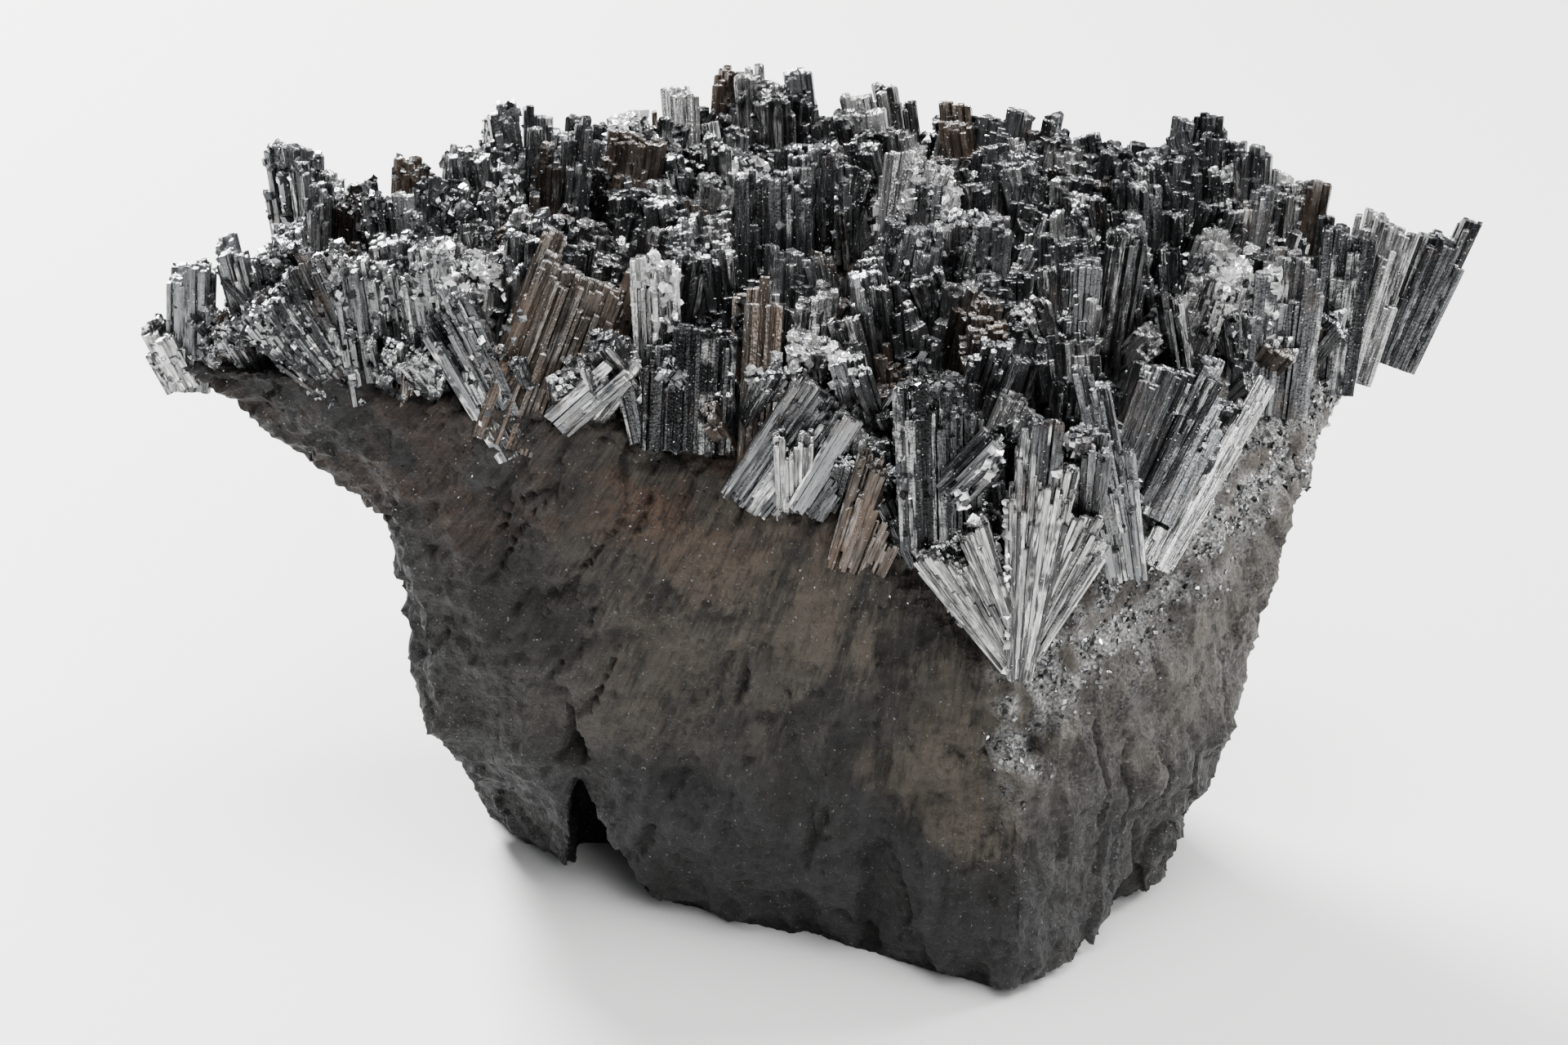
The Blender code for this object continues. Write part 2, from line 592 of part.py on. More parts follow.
def main():
    """Builds the block, then every sheaf on it, then the druse between them."""
    for obj in list(bpy.data.objects):
        bpy.data.objects.remove(obj, do_unlink=True)
    collection = bpy.data.collections.new("pyrolusite")
    bpy.context.scene.collection.children.link(collection)
    ore = make_material("ore", ORE_COLOUR, 0.75, 0.1)
    crystal = make_material("crystal", CRYSTAL_COLOUR, 0.3, 0.85)

    block = add_object("ore_block", mesh_of(block_shape(), "ore_block"), collection, ore)
    block_top = BVHTree.FromObject(block, bpy.context.evaluated_depsgraph_get())
    block_cutter = grown_block(block)
    cut_foot(block, collection)
    nodes, standing = [block], []
    for name, sheaves in SHEAVES.items():
        prisms = [p for n, sheaf in enumerate(sheaves) for p in sheaf.prisms(f"{name} {n}")]
        boxes = [prism.box() for prism in prisms]
        near = [s for s in standing if any(boxes_meet(s.envelope().box(), box) for box in boxes)]
        shapes = [prism.shape() for prism in prisms]
        nodes.append(build_crystals(name, shapes, near, block_cutter, collection, crystal))
        standing += sheaves

    shapes = [bed_shape(), *(prism.shape() for prism in druse_prisms(block_top))]
    nodes.append(build_crystals("druse_crust", shapes, standing, block_cutter, collection, crystal))
    for obj in nodes:
        obj.data.transform(Matrix.Translation(-CENTRE * MM))


main()
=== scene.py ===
"""Dresses the pyrolusite specimen: fibrous ore under fine striated crystals, in a plain studio.

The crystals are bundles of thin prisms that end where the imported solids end. Sizes are in
millimetres and become metres where a mesh is made. The front ridge of the specimen points to -Y,
its left tip to -X and its right wing to +X.
"""

import json
import logging
import math
import random
from collections.abc import Callable, Iterable, Sequence
from dataclasses import dataclass, field
from enum import Enum

import bmesh
import bpy
import numpy as np
from bpy.types import Collection, Material, Mesh, NodeTree
from bpy.types import NodeSocket as Socket
from mathutils import Euler, Matrix, Vector, noise
from mathutils.bvhtree import BVHTree

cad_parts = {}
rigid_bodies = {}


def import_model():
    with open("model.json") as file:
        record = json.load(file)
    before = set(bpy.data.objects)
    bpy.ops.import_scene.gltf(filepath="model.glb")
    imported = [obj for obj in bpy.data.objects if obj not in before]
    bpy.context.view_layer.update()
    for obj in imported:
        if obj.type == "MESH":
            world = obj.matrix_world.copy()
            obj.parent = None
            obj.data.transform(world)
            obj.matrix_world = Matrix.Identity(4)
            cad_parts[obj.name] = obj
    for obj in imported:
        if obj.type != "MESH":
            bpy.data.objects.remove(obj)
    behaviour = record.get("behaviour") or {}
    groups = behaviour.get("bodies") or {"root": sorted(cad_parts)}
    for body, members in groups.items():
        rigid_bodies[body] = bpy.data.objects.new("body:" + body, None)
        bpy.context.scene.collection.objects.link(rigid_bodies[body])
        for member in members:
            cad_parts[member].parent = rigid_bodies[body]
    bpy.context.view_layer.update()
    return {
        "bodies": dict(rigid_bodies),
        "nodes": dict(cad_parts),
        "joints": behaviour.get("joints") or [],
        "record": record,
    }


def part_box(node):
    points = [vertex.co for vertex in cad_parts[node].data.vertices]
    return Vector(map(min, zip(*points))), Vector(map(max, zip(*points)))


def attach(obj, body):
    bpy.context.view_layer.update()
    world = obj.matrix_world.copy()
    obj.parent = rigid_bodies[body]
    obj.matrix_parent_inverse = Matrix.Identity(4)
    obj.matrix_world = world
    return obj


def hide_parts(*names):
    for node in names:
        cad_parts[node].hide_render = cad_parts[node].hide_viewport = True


MM = 0.001
PLAN_CENTRE = Vector((1.76, -3.49, 0.0))  # the middle of the footprint, in the frame of the places below
NOISE_SEED = 3  # noise_vector follows the clock unless it has a seed
LOG = logging.getLogger("pyrolusite")

Pair = tuple[float, float]
Triple = tuple[float, float, float]


def in_scene(place: Vector) -> Vector:
    """A place in mm in the specimen's own frame, as a place in the scene."""
    return (place - PLAN_CENTRE) * MM


def in_mm(place: Vector) -> Vector:
    """A place in the scene, as a place in mm in the specimen's own frame."""
    return place / MM + PLAN_CENTRE


def eased(value: float, low: float, high: float) -> float:
    """A smooth step from 0 at low to 1 at high."""
    share = max(0.0, min(1.0, (value - low) / (high - low)))
    return share * share * (3 - 2 * share)


def any_way(chance: random.Random, size: float, axes: int) -> Vector:
    """A vector with each of its parts drawn between -size and size."""
    return Vector(chance.uniform(-size, size) for _ in range(axes))


# ---------------------------------------------------------------- nodes and shader maths


def add_node(
    tree: NodeTree, kind: str, settings: dict | None = None, inputs: dict | None = None
) -> bpy.types.Node:
    """Adds a node: its settings first, then the values or other nodes' sockets that it takes."""
    made = tree.nodes.new(kind)
    for name, value in (settings or {}).items():
        setattr(made, name, value)
    for key, value in (inputs or {}).items():
        if isinstance(value, Socket):
            tree.links.new(value, made.inputs[key])
        else:
            made.inputs[key].default_value = value
    return made


class Wire:
    """A shader value that ordinary expressions can use: each operator adds its Math node."""

    def __init__(self, shader: "Shader", socket: Socket) -> None:
        """Wraps an output socket of that shader's tree."""
        self.shader = shader
        self.socket = socket

    def _math(self, operation: str, *values: "Wire | float") -> "Wire":
        """One Math node on these values."""
        return self.shader.node("ShaderNodeMath", {"operation": operation}, dict(enumerate(values)))

    def __add__(self, other: "Wire | float") -> "Wire":
        """Sum."""
        return self._math("ADD", self, other)

    def __sub__(self, other: "Wire | float") -> "Wire":
        """Difference."""
        return self._math("SUBTRACT", self, other)

    def __rsub__(self, other: float) -> "Wire":
        """Reflected difference."""
        return self._math("SUBTRACT", other, self)

    def __mul__(self, other: "Wire | float") -> "Wire":
        """Product."""
        return self._math("MULTIPLY", self, other)

    def __truediv__(self, other: "Wire | float") -> "Wire":
        """Quotient."""
        return self._math("DIVIDE", self, other)

    __radd__ = __add__
    __rmul__ = __mul__

    def fraction(self) -> "Wire":
        """What is left of a value over a whole number."""
        return self._math("FRACT", self)

    def larger(self, other: "Wire | float") -> "Wire":
        """The larger of two values."""
        return self._math("MAXIMUM", self, other)

    def ease(self, low: float, high: float) -> "Wire":
        """A smooth step from 0 at low to 1 at high."""
        inputs = {"Value": self, "From Min": low, "From Max": high}
        return self.shader.node("ShaderNodeMapRange", {"interpolation_type": "SMOOTHSTEP"}, inputs)


class Shader:
    """One material and the few kinds of node that its finish is drawn with."""

    MIX_FACTOR, MIX_A, MIX_B, MIX_RESULT = 0, 6, 7, 2  # a Mix node's sockets when it blends colours

    def __init__(self, name: str) -> None:
        """Starts an empty material of that name."""
        self.material = bpy.data.materials.new(name)
        self.material.use_nodes = True
        self.tree = self.material.node_tree
        self.tree.nodes.clear()

    def node(
        self, kind: str, settings: dict | None = None, inputs: dict | None = None, output: int | str = 0
    ) -> Wire:
        """Adds a node whose inputs are values or wires, and returns the wire of one output."""
        sockets = {key: v.socket if isinstance(v, Wire) else v for key, v in (inputs or {}).items()}
        return Wire(self, add_node(self.tree, kind, settings, sockets).outputs[output])

    def vector(self, operation: str, first: Wire, second: Wire | Triple) -> Wire:
        """A sum, product or the like of two vectors, axis by axis."""
        return self.node("ShaderNodeVectorMath", {"operation": operation}, {0: first, 1: second})

    def object_mm(self) -> Wire:
        """Object coordinates in millimetres."""
        return self.vector("MULTIPLY", self.node("ShaderNodeTexCoord", output="Object"), (1 / MM,) * 3)

    def joined(self, x: Wire, y: Wire, z: Wire) -> Wire:
        """A vector of three values."""
        return self.node("ShaderNodeCombineXYZ", {}, {"X": x, "Y": y, "Z": z})

    def parts(self, vector: Wire) -> list[Wire]:
        """The three values of a vector."""
        made = add_node(self.tree, "ShaderNodeSeparateXYZ", {}, {"Vector": vector.socket})
        return [Wire(self, socket) for socket in made.outputs]

    def attribute(self, name: str, output: str = "Fac") -> Wire:
        """A mesh attribute."""
        return self.node("ShaderNodeAttribute", {"attribute_name": name}, output=output)

    def noise(self, vector: Wire, scale: float, detail: float, rough: float) -> Wire:
        """Noise from 0 to 1."""
        inputs = {"Vector": vector, "Scale": scale, "Detail": detail, "Roughness": rough}
        return self.node("ShaderNodeTexNoise", {}, inputs)

    def cells(self, vector: Wire, scale: float) -> Wire:
        """The distance from the middle of Voronoi cells."""
        return self.node("ShaderNodeTexVoronoi", {}, {"Vector": vector, "Scale": scale}, "Distance")

    def blend(self, share: Wire, first: Wire | Triple, second: Wire | Triple) -> Wire:
        """A colour between two colours."""
        a, b = (c if isinstance(c, Wire) else (*c, 1.0) for c in (first, second))
        inputs = {self.MIX_FACTOR: share, self.MIX_A: a, self.MIX_B: b}
        return self.node("ShaderNodeMix", {"data_type": "RGBA"}, inputs, self.MIX_RESULT)

    def bump(self, height: Wire, depth: float, strength: float, below: Wire | None = None) -> Wire:
        """A Bump node that is depth mm deep, on top of another if that is given."""
        inputs = {"Height": height, "Distance": depth * MM, "Strength": strength}
        if below:
            inputs["Normal"] = below
        return self.node("ShaderNodeBump", {}, inputs)

    def finish(self, inputs: dict) -> Material:
        """Ends the tree in a Principled shader with these inputs."""
        surface = self.node("ShaderNodeBsdfPrincipled", {}, inputs)
        add_node(self.tree, "ShaderNodeOutputMaterial", {}, {"Surface": surface.socket})
        return self.material


# ---------------------------------------------------------------- finishes


@dataclass(frozen=True)
class CrystalFinish:
    """The metallic finish of one kind of crystal.

    dark and light are the colours between its grooves and on them, tarnish the colour of its stain
    and stain how much of it shows, end the painted highlight colour of its flat ends, gloss its
    roughness, groove how fine its grooves are, metal how metallic it is, the next field how much a
    painted highlight runs along the whole length of some prisms, and the last the colour of that
    painted highlight and of its painted glint specks.
    """

    name: str
    dark: Triple
    light: Triple
    tarnish: Triple = (0.16, 0.11, 0.08)
    stain: float = 0.25
    # painted highlight: the flat ends are given a paler colour, as where they catch the light
    end: Triple = (0.55, 0.555, 0.565)
    gloss: float = 0.24
    groove: float = 9.0
    metal: float = 0.86
    # painted highlight along some prisms, and below it the colour of that highlight and of the painted
    # glint specks
    painted_shine: float = 0.75
    sparkle: Triple = (0.8, 0.8, 0.79)

    ALONG = 0.12  # how slowly the grooves change along a prism, over how fast they do across it
    LOT_SHIFT = (91.7, 53.3, 17.9)  # moves the grooves by a prism's lot, so that no two are alike
    LOT_SPREAD = 41.0  # turns a prism's lot into a second number that doesn't follow it

    def make(self) -> Material:
        """Builds the material: grooves along each prism, stains, painted highlights on the ends and along
        some prisms, and fine painted glint specks over faceted bumps.
        """
        shader = Shader(self.name)
        lot = shader.attribute("lot")
        shift = shader.joined(*(lot * factor for factor in self.LOT_SHIFT))
        own = shader.vector("ADD", shader.attribute("local", "Vector"), shift)
        lengthwise = shader.vector("MULTIPLY", own, (1.0, 1.0, self.ALONG))
        fine = shader.noise(lengthwise, self.groove, 2.0, 0.6)
        broad = shader.noise(lengthwise, self.groove * 0.3, 2.0, 0.5)
        place = shader.object_mm()
        patch = shader.noise(place, 0.35, 3.0, 0.6)
        grain = shader.noise(place, 5.0, 2.0, 0.6)
        # patches where the painted highlight along a prism shows
        painted_shine_patch = shader.noise(place, 0.8, 2.0, 0.6)
        # painted glints: fine specks, made lighter in the base colour below
        speck = shader.noise(place, 8.0, 1.0, 0.5).ease(0.705, 0.74)
        facet = shader.cells(place, 7.0)
        is_end = shader.attribute("ending")

        tone = (fine * 0.6 + broad * 0.5 + (lot - 0.5) * 0.55).ease(0.3, 0.9)
        # painted highlight: a few prisms made lighter along their length, as though they mirrored the
        # light
        has_painted_shine = (lot * self.LOT_SPREAD).fraction().ease(0.68, 0.76)
        painted_shine_mask = has_painted_shine * fine.ease(0.35, 0.6) * painted_shine_patch.ease(0.42, 0.62) * self.painted_shine
        body = shader.blend(painted_shine_mask, shader.blend(tone, self.dark, self.light), self.sparkle)
        stained = shader.blend(patch.ease(0.62 - self.stain * 0.4, 0.75) * self.stain, body, self.tarnish)
        # painted highlight: the flat ends lighter, as where they catch the light
        with_painted_end_highlight = shader.blend(is_end * grain.ease(0.4, 0.65) * lot.ease(0.1, 0.8), stained, self.end)
        rough = (fine - 0.5) * 0.18 + (patch - 0.5) * 0.2 + self.gloss - is_end * 0.06
        ridged = shader.bump(fine + broad * 0.8, 0.09, 0.55)
        faceted = shader.bump(facet * (speck + 0.15), 0.12, 0.6, ridged)
        return shader.finish(
            {
                # painted glint specks lighten the base colour
                "Base Color": shader.blend(speck * 0.55, with_painted_end_highlight, self.sparkle),
                "Metallic": self.metal,
                "Roughness": rough.larger(0.1),
                "Normal": shader.bump(grain, 0.04, 0.35, faceted),
            }
        )


@dataclass(frozen=True)
class OreFinish:
    """The ore's finish: fibrous brown-grey above, dark iron-grey at the foot, painted shade over its left
    and in its hollows, sparkling grains.

    focus is the x and z of the place above the specimen that the fibres run from, and ashen_from
    the x that the right face's paler tone starts at.
    """

    focus: Pair
    name: str = "fibrous_ore"
    brown: Triple = (0.064, 0.053, 0.041)
    umber: Triple = (0.0075, 0.0064, 0.0055)
    iron: Triple = (0.0175, 0.0175, 0.0188)
    ash: Triple = (0.085, 0.08, 0.076)
    rust: Triple = (0.085, 0.045, 0.027)
    silver: Triple = (0.42, 0.42, 0.415)
    ashen_from: float = 11.5

    def make(self) -> Material:
        """Builds the material from noise along the fibres' fan and the block's own masks."""
        shader = Shader(self.name)
        place = shader.object_mm()
        along_x, along_y, height = shader.parts(place)
        focus_x, focus_z = self.focus
        fanned = (along_x + (PLAN_CENTRE.x - focus_x)) / (focus_z - height) * focus_z
        fan = shader.joined(fanned, along_y, height * 0.16)
        fibres = shader.noise(fan, 3.2, 5.0, 0.7)
        streaks = shader.noise(fan, 0.55, 3.0, 0.6)
        layers = shader.vector("MULTIPLY", place, (0.3, 0.3, 1.0))
        level = shader.noise(layers, 1.4, 3.0, 0.6)
        patch = shader.noise(place, 0.16, 3.0, 0.55)
        speck = shader.noise(place, 6.0, 2.0, 0.7)
        rust, band, relief, tint, shade = (shader.attribute(name) for name in OreBlock.MASKS)

        # fibres' and streaks' own tone, plus painted shade: the relief mask makes hollows darker and
        # raised parts lighter
        streaks_and_hollow_shade = fibres * 0.9 + streaks * 0.4 + relief * 0.3 + tint * 0.3 + (patch - 0.5) * 0.3
        base = shader.blend(streaks_and_hollow_shade.ease(0.6, 1.0), self.umber, self.brown)
        dark_iron = shader.blend(streaks_and_hollow_shade.ease(0.55, 1.15), self.umber, self.iron)
        # the shade mask: real dark iron-grey at the foot and slate patch, painted shade over the left
        body = shader.blend(shade, base, dark_iron)
        # darker layers, with painted shade deeper in the hollows
        layers_and_hollow_shade = level.ease(0.5, 0.72) * 0.55 * (1.0 - relief * 0.5)
        layered = shader.blend(layers_and_hollow_shade, body, self.umber)
        rusty = shader.blend(rust * (fibres * 0.5 + speck * 0.5).ease(0.38, 0.6), layered, self.rust)
        right_face = (along_x + (PLAN_CENTRE.x - self.ashen_from)).ease(0.0, 4.0) * speck.ease(0.35, 0.65)
        ashen = shader.blend(right_face * 0.75 * (1.0 - shade * 0.7), rusty, self.ash)
        glint = (speck.ease(0.66, 0.74) * 0.5).larger(band * (speck.ease(0.4, 0.6) * 0.75 + 0.25))
        granular = shader.cells(place, 4.5) * (band * 0.9 + 0.25)
        coarse = shader.bump(fibres + level * 0.4 + granular, 0.4, 0.85)
        return shader.finish(
            {
                "Base Color": shader.blend(glint, ashen, self.silver),
                "Metallic": glint * 0.8 + 0.15,
                "Roughness": 0.6 - glint * 0.35,
                "Specular IOR Level": 0.35,
                "Normal": shader.bump(speck, 0.14, 0.7, coarse),
            }
        )


class Tone(Enum):
    """The kinds of crystal on the specimen and the painted glints, each with its finish and the record's
    slot for it.
    """

    STEEL = CrystalFinish("steel_crystal", (0.018, 0.0186, 0.02), (0.215, 0.22, 0.227))
    DARK = CrystalFinish(
        "dark_crystal", (0.0105, 0.0108, 0.0115), (0.13, 0.133, 0.138), stain=0.12, gloss=0.2, painted_shine=0.4
    )
    PALE = CrystalFinish("pale_crystal", (0.032, 0.032, 0.033), (0.64, 0.64, 0.63), stain=0.1, gloss=0.22)
    BROWN = CrystalFinish(
        "brown_crystal",
        (0.022, 0.0188, 0.0165),
        (0.16, 0.138, 0.122),
        (0.11, 0.072, 0.05),
        stain=0.6,
        gloss=0.28,
        painted_shine=0.2,
    )
    GRANULAR = CrystalFinish(
        "granular_crystal", (0.024, 0.0245, 0.026), (0.3, 0.305, 0.31), stain=0.1, gloss=0.2
    )
    # painted glints: near-white grains that stand where the highlights fall
    BRIGHT = CrystalFinish(
        "bright_facets", (0.45, 0.45, 0.45), (0.95, 0.95, 0.94), stain=0.0, gloss=0.17, metal=0.65
    )

    @property
    def slot(self) -> str:
        """The record's material slot."""
        is_named = self in (Tone.PALE, Tone.BROWN, Tone.GRANULAR)
        return self.value.name if is_named else "crystal"


# ---------------------------------------------------------------- meshes and trees


def mesh_from(bm: bmesh.types.BMesh, name: str) -> Mesh:
    """A mesh of that name, made from a bmesh, which is used up."""
    mesh = bpy.data.meshes.new(name)
    bm.to_mesh(mesh)
    bm.free()
    return mesh


def linked(name: str, data: bpy.types.ID) -> bpy.types.Object:
    """A new object that holds that data, in the scene."""
    made = bpy.data.objects.new(name, data)
    bpy.context.scene.collection.objects.link(made)
    return made


def evaluated(carrier: bpy.types.Object, name: str) -> Mesh:
    """The plain mesh that an object's modifiers make. The object and its own mesh are used up."""
    graph = bpy.context.evaluated_depsgraph_get()
    made = bpy.data.meshes.new_from_object(carrier.evaluated_get(graph))
    spent = carrier.data
    bpy.data.objects.remove(carrier)
    bpy.data.meshes.remove(spent)
    made.name = name
    return made


def store(mesh: Mesh, name: str, values: Sequence, kind: str = "FLOAT") -> None:
    """Stores a value for each point of a mesh under that name."""
    key = "vector" if kind == "FLOAT_VECTOR" else "value"
    mesh.attributes.new(name, kind, "POINT").data.foreach_set(key, np.array(values).ravel())


def drop(mesh: Mesh, names: Iterable[str]) -> None:
    """Removes the attributes of those names that a mesh has."""
    for name in names:
        if name in mesh.attributes:
            mesh.attributes.remove(mesh.attributes[name])


def add_piece(name: str, mesh: Mesh) -> bpy.types.Object:
    """Puts a finished mesh into the scene as a piece that moves with the specimen."""
    piece = linked(name, mesh)
    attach(piece, "root")
    LOG.info("%s: %d faces", name, len(mesh.polygons))
    return piece


PRISM_SIDES = (4, 5, 4, 6, 5, 4)  # the corners of each unit prism's section
PRISM_RINGS = ((0.8, 0.0, 0.0), (1.0, 0.99, 0.0), (0.82, 1.0, 1.0))  # width, height and share of the end
CORNER_STRAY = 0.18  # how far a corner strays along a side, as a share of it
END_TILT = 0.008
GRAIN_KINDS = 3
GRAIN_STRAY = 0.2


def unit_prism(sides: int, chance: random.Random) -> Mesh:
    """A unit prism: a section with that many corners, a narrow bevel and a tilted end."""
    corners = []
    for i in range(sides):
        angle = math.tau * (i + 0.5 + chance.uniform(-CORNER_STRAY, CORNER_STRAY)) / sides
        corner = Vector((math.cos(angle), math.sin(angle)))
        corners.append(corner / max(abs(corner.x), abs(corner.y)) * 0.5)
    tilt = any_way(chance, END_TILT, 2)
    bm = bmesh.new()
    ending = bm.verts.layers.float.new("ending")
    loops = []
    for scale, height, share in PRISM_RINGS:
        loop = []
        for corner in corners:
            lift = corner.dot(tilt) if height else 0.0
            vert = bm.verts.new((corner.x * scale, corner.y * scale, height + lift))
            vert[ending] = share
            loop.append(vert)
        loops.append(loop)
    for low, high in zip(loops, loops[1:]):
        for i in range(sides):
            j = (i + 1) % sides
            bm.faces.new((low[i], low[j], high[j], high[i]))
    bm.faces.new(loops[-1])
    bm.faces.new(list(reversed(loops[0])))
    return mesh_from(bm, "unit_prism")


def unit_grain(chance: random.Random) -> Mesh:
    """A small faceted grain: a cube with its corners moved."""
    bm = bmesh.new()
    bmesh.ops.create_cube(bm, size=1.0)
    for vert in bm.verts:
        vert.co += any_way(chance, GRAIN_STRAY, 3)
    return mesh_from(bm, "unit_grain")


def collected(name: str, meshes: Iterable[Mesh]) -> Collection:
    """A collection of these forms for a tree to instance, which isn't shown."""
    collection = bpy.data.collections.new(name)
    for number, mesh in enumerate(meshes):
        collection.objects.link(bpy.data.objects.new(f"{name}_{number}", mesh))
    return collection


def crystal_forms() -> Collection:
    """A few unit prisms with uneven sections."""
    chances = (random.Random(f"form {number}") for number in range(len(PRISM_SIDES)))
    return collected("prisms", map(unit_prism, PRISM_SIDES, chances))


def grain_forms() -> Collection:
    """A few grains for the granular patches."""
    return collected("grains", (unit_grain(random.Random(f"grain {n}")) for n in range(GRAIN_KINDS)))


class TreeBuilder:
    """Builds one Geometry Nodes tree, node by node."""

    def __init__(self, name: str, inputs: dict[str, str]) -> None:
        """Starts a tree with a geometry input and these further inputs, as name and kind of socket."""
        self.tree = bpy.data.node_groups.new(name, "GeometryNodeTree")
        face = self.tree.interface
        for label, kind in {"Geometry": "Geometry", **inputs}.items():
            face.new_socket(label, in_out="INPUT", socket_type=f"NodeSocket{kind}")
        face.new_socket("Geometry", in_out="OUTPUT", socket_type="NodeSocketGeometry")
        self.entry = self.tree.nodes.new("NodeGroupInput")

    def given(self, name: str) -> Socket:
        """The group's input of that name."""
        return self.entry.outputs[name]

    def node(
        self, kind: str, settings: dict | None = None, inputs: dict | None = None, output: int | str = 0
    ) -> Socket:
        """Adds a node and returns one output."""
        return add_node(self.tree, kind, settings, inputs).outputs[output]

    def field(self, name: str, kind: str) -> Socket:
        """A named attribute as a field."""
        return self.node("GeometryNodeInputNamedAttribute", {"data_type": kind}, {"Name": name})

    def forms(self) -> Socket:
        """The forms to instance, each by itself, from the collection given as Forms."""
        inputs = {"Collection": self.given("Forms"), "Separate Children": True, "Reset Children": True}
        return self.node("GeometryNodeCollectionInfo", {}, inputs)

    def end(self, geometry: Socket) -> NodeTree:
        """Realizes the instances, sets the material and ends the tree."""
        real = self.node("GeometryNodeRealizeInstances", {}, {"Geometry": geometry})
        inputs = {"Geometry": real, "Material": self.given("Material")}
        dressed = self.node("GeometryNodeSetMaterial", {}, inputs)
        add_node(self.tree, "NodeGroupOutput", {}, {0: dressed})
        return self.tree


def crystal_tree() -> NodeTree:
    """The tree that stands a unit prism on each point, turned and sized by the point's attributes.

    Its input Section makes every prism thicker or thinner.
    """
    inputs = {"Forms": "Collection", "Material": "Material", "Section": "Float"}
    builder = TreeBuilder("crystal_bundle", inputs)
    share = builder.given("Section")
    section = builder.node("ShaderNodeCombineXYZ", {}, {"X": share, "Y": share, "Z": 1.0})
    size = {0: builder.field("size", "FLOAT_VECTOR"), 1: section}
    turn = {0: builder.field("turn", "FLOAT_VECTOR")}
    placed = builder.node(
        "GeometryNodeInstanceOnPoints",
        {},
        {
            "Points": builder.given("Geometry"),
            "Instance": builder.forms(),
            "Pick Instance": True,
            "Instance Index": builder.field("form", "INT"),
            "Rotation": builder.node("FunctionNodeEulerToRotation", {}, turn),
            "Scale": builder.node("ShaderNodeVectorMath", {"operation": "MULTIPLY"}, size),
        },
    )
    return builder.end(placed)


def grain_tree() -> NodeTree:
    """The tree that strews grains over the faces of a surface, thickest where its weight is high."""
    inputs = {"Forms": "Collection", "Material": "Material", "Density": "Float"}
    inputs |= {"Smallest": "Float", "Largest": "Float", "Seed": "Int"}
    builder = TreeBuilder("grain_crust", inputs)
    seed = builder.given("Seed")
    thickness = {0: builder.field("weight", "FLOAT"), 1: builder.given("Density")}
    density = builder.node("ShaderNodeMath", {"operation": "MULTIPLY"}, thickness)
    strewn = {"Mesh": builder.given("Geometry"), "Density": density, "Seed": seed}
    full_turn = {0: (0.0,) * 3, 1: (math.tau,) * 3, "Seed": seed}
    sizes = {2: builder.given("Smallest"), 3: builder.given("Largest"), "Seed": seed}
    spin = builder.node("FunctionNodeRandomValue", {"data_type": "FLOAT_VECTOR"}, full_turn)
    placed = builder.node(
        "GeometryNodeInstanceOnPoints",
        {},
        {
            "Points": builder.node("GeometryNodeDistributePointsOnFaces", {}, strewn),
            "Instance": builder.forms(),
            "Pick Instance": True,
            "Rotation": builder.node("FunctionNodeEulerToRotation", {}, {0: spin}),
            "Scale": builder.node("FunctionNodeRandomValue", {"data_type": "FLOAT"}, sizes, 1),
        },
    )
    lot = builder.node("FunctionNodeRandomValue", {"data_type": "FLOAT"}, {2: 0.0, 3: 1.0}, 1)
    kept = {"Geometry": placed, "Name": "lot", "Value": lot}
    stored = builder.node(
        "GeometryNodeStoreNamedAttribute", {"data_type": "FLOAT", "domain": "INSTANCE"}, kept
    )
    return builder.end(stored)


def run_tree(
    name: str, mesh: Mesh, tree: NodeTree, values: dict[str, object]
) -> Mesh:
    """Runs a tree on a mesh and returns the plain mesh that it makes.

    Args:
        name: The new mesh's name.
        mesh: What the tree works on. It is used up.
        tree: The Geometry Nodes tree.
        values: Its inputs by name.

    Returns:
        The result, with no modifier left.
    """
    carrier = linked(f"{name}_points", mesh)
    modifier = carrier.modifiers.new(tree.name, "NODES")
    modifier.node_group = tree
    for item in tree.interface.items_tree:
        if item.in_out == "INPUT" and item.name in values:
            modifier[item.identifier] = values[item.name]
    return evaluated(carrier, name)


# ---------------------------------------------------------------- crystals


@dataclass
class Prism:
    """One thin crystal: its lower end, its axes, its section and length in mm, and its lot number."""

    start: Vector
    axis: Vector
    side: Vector
    width: float
    depth: float
    length: float
    lot: float

    def turn(self) -> Euler:
        """The rotation that stands a unit prism along its axis."""
        across = (self.side - self.axis * self.side.dot(self.axis)).normalized()
        return Matrix((across, self.axis.cross(across), self.axis)).transposed().to_euler()


STEPS = (0.0, 0.0, 0.0, 0.12, 0.25, 0.25, 0.5, 0.9, 1.6)  # how far prisms stop short of the bundle's end
STEP_WIDTH = 3  # prisms side by side that share a step
OWN_STEP = 0.3  # the share of a further step that is a prism's own
FULL_STEPS = 6.0  # the length from which a bundle has its steps in full
CHIPS = (1.0, 1.0, 1.0, 1.0, 1.0, 0.92, 0.84, 0.7, 0.5)  # how much is left of the outer prisms' lengths
THICK = 8  # a bundle of more prisms across is chipped two prisms deep
WOBBLE = 0.006  # unevenness of the prisms' directions
OVERLAP = (0.9, 1.7)  # a prism's section over the room it has, so that neighbours grow together
SHORTEST = 1.6
RAY_START = 4.0  # how far beyond a bundle's tip the rays start that look for the solid
STRAY = (1.12, 0.8)  # above the first share of a bundle's length a ray met a neighbour: it gets the second
GRAZING = 0.2  # a surface that faces a ray by less than this is a side, so the prism ends below it
GRAZED = 0.2


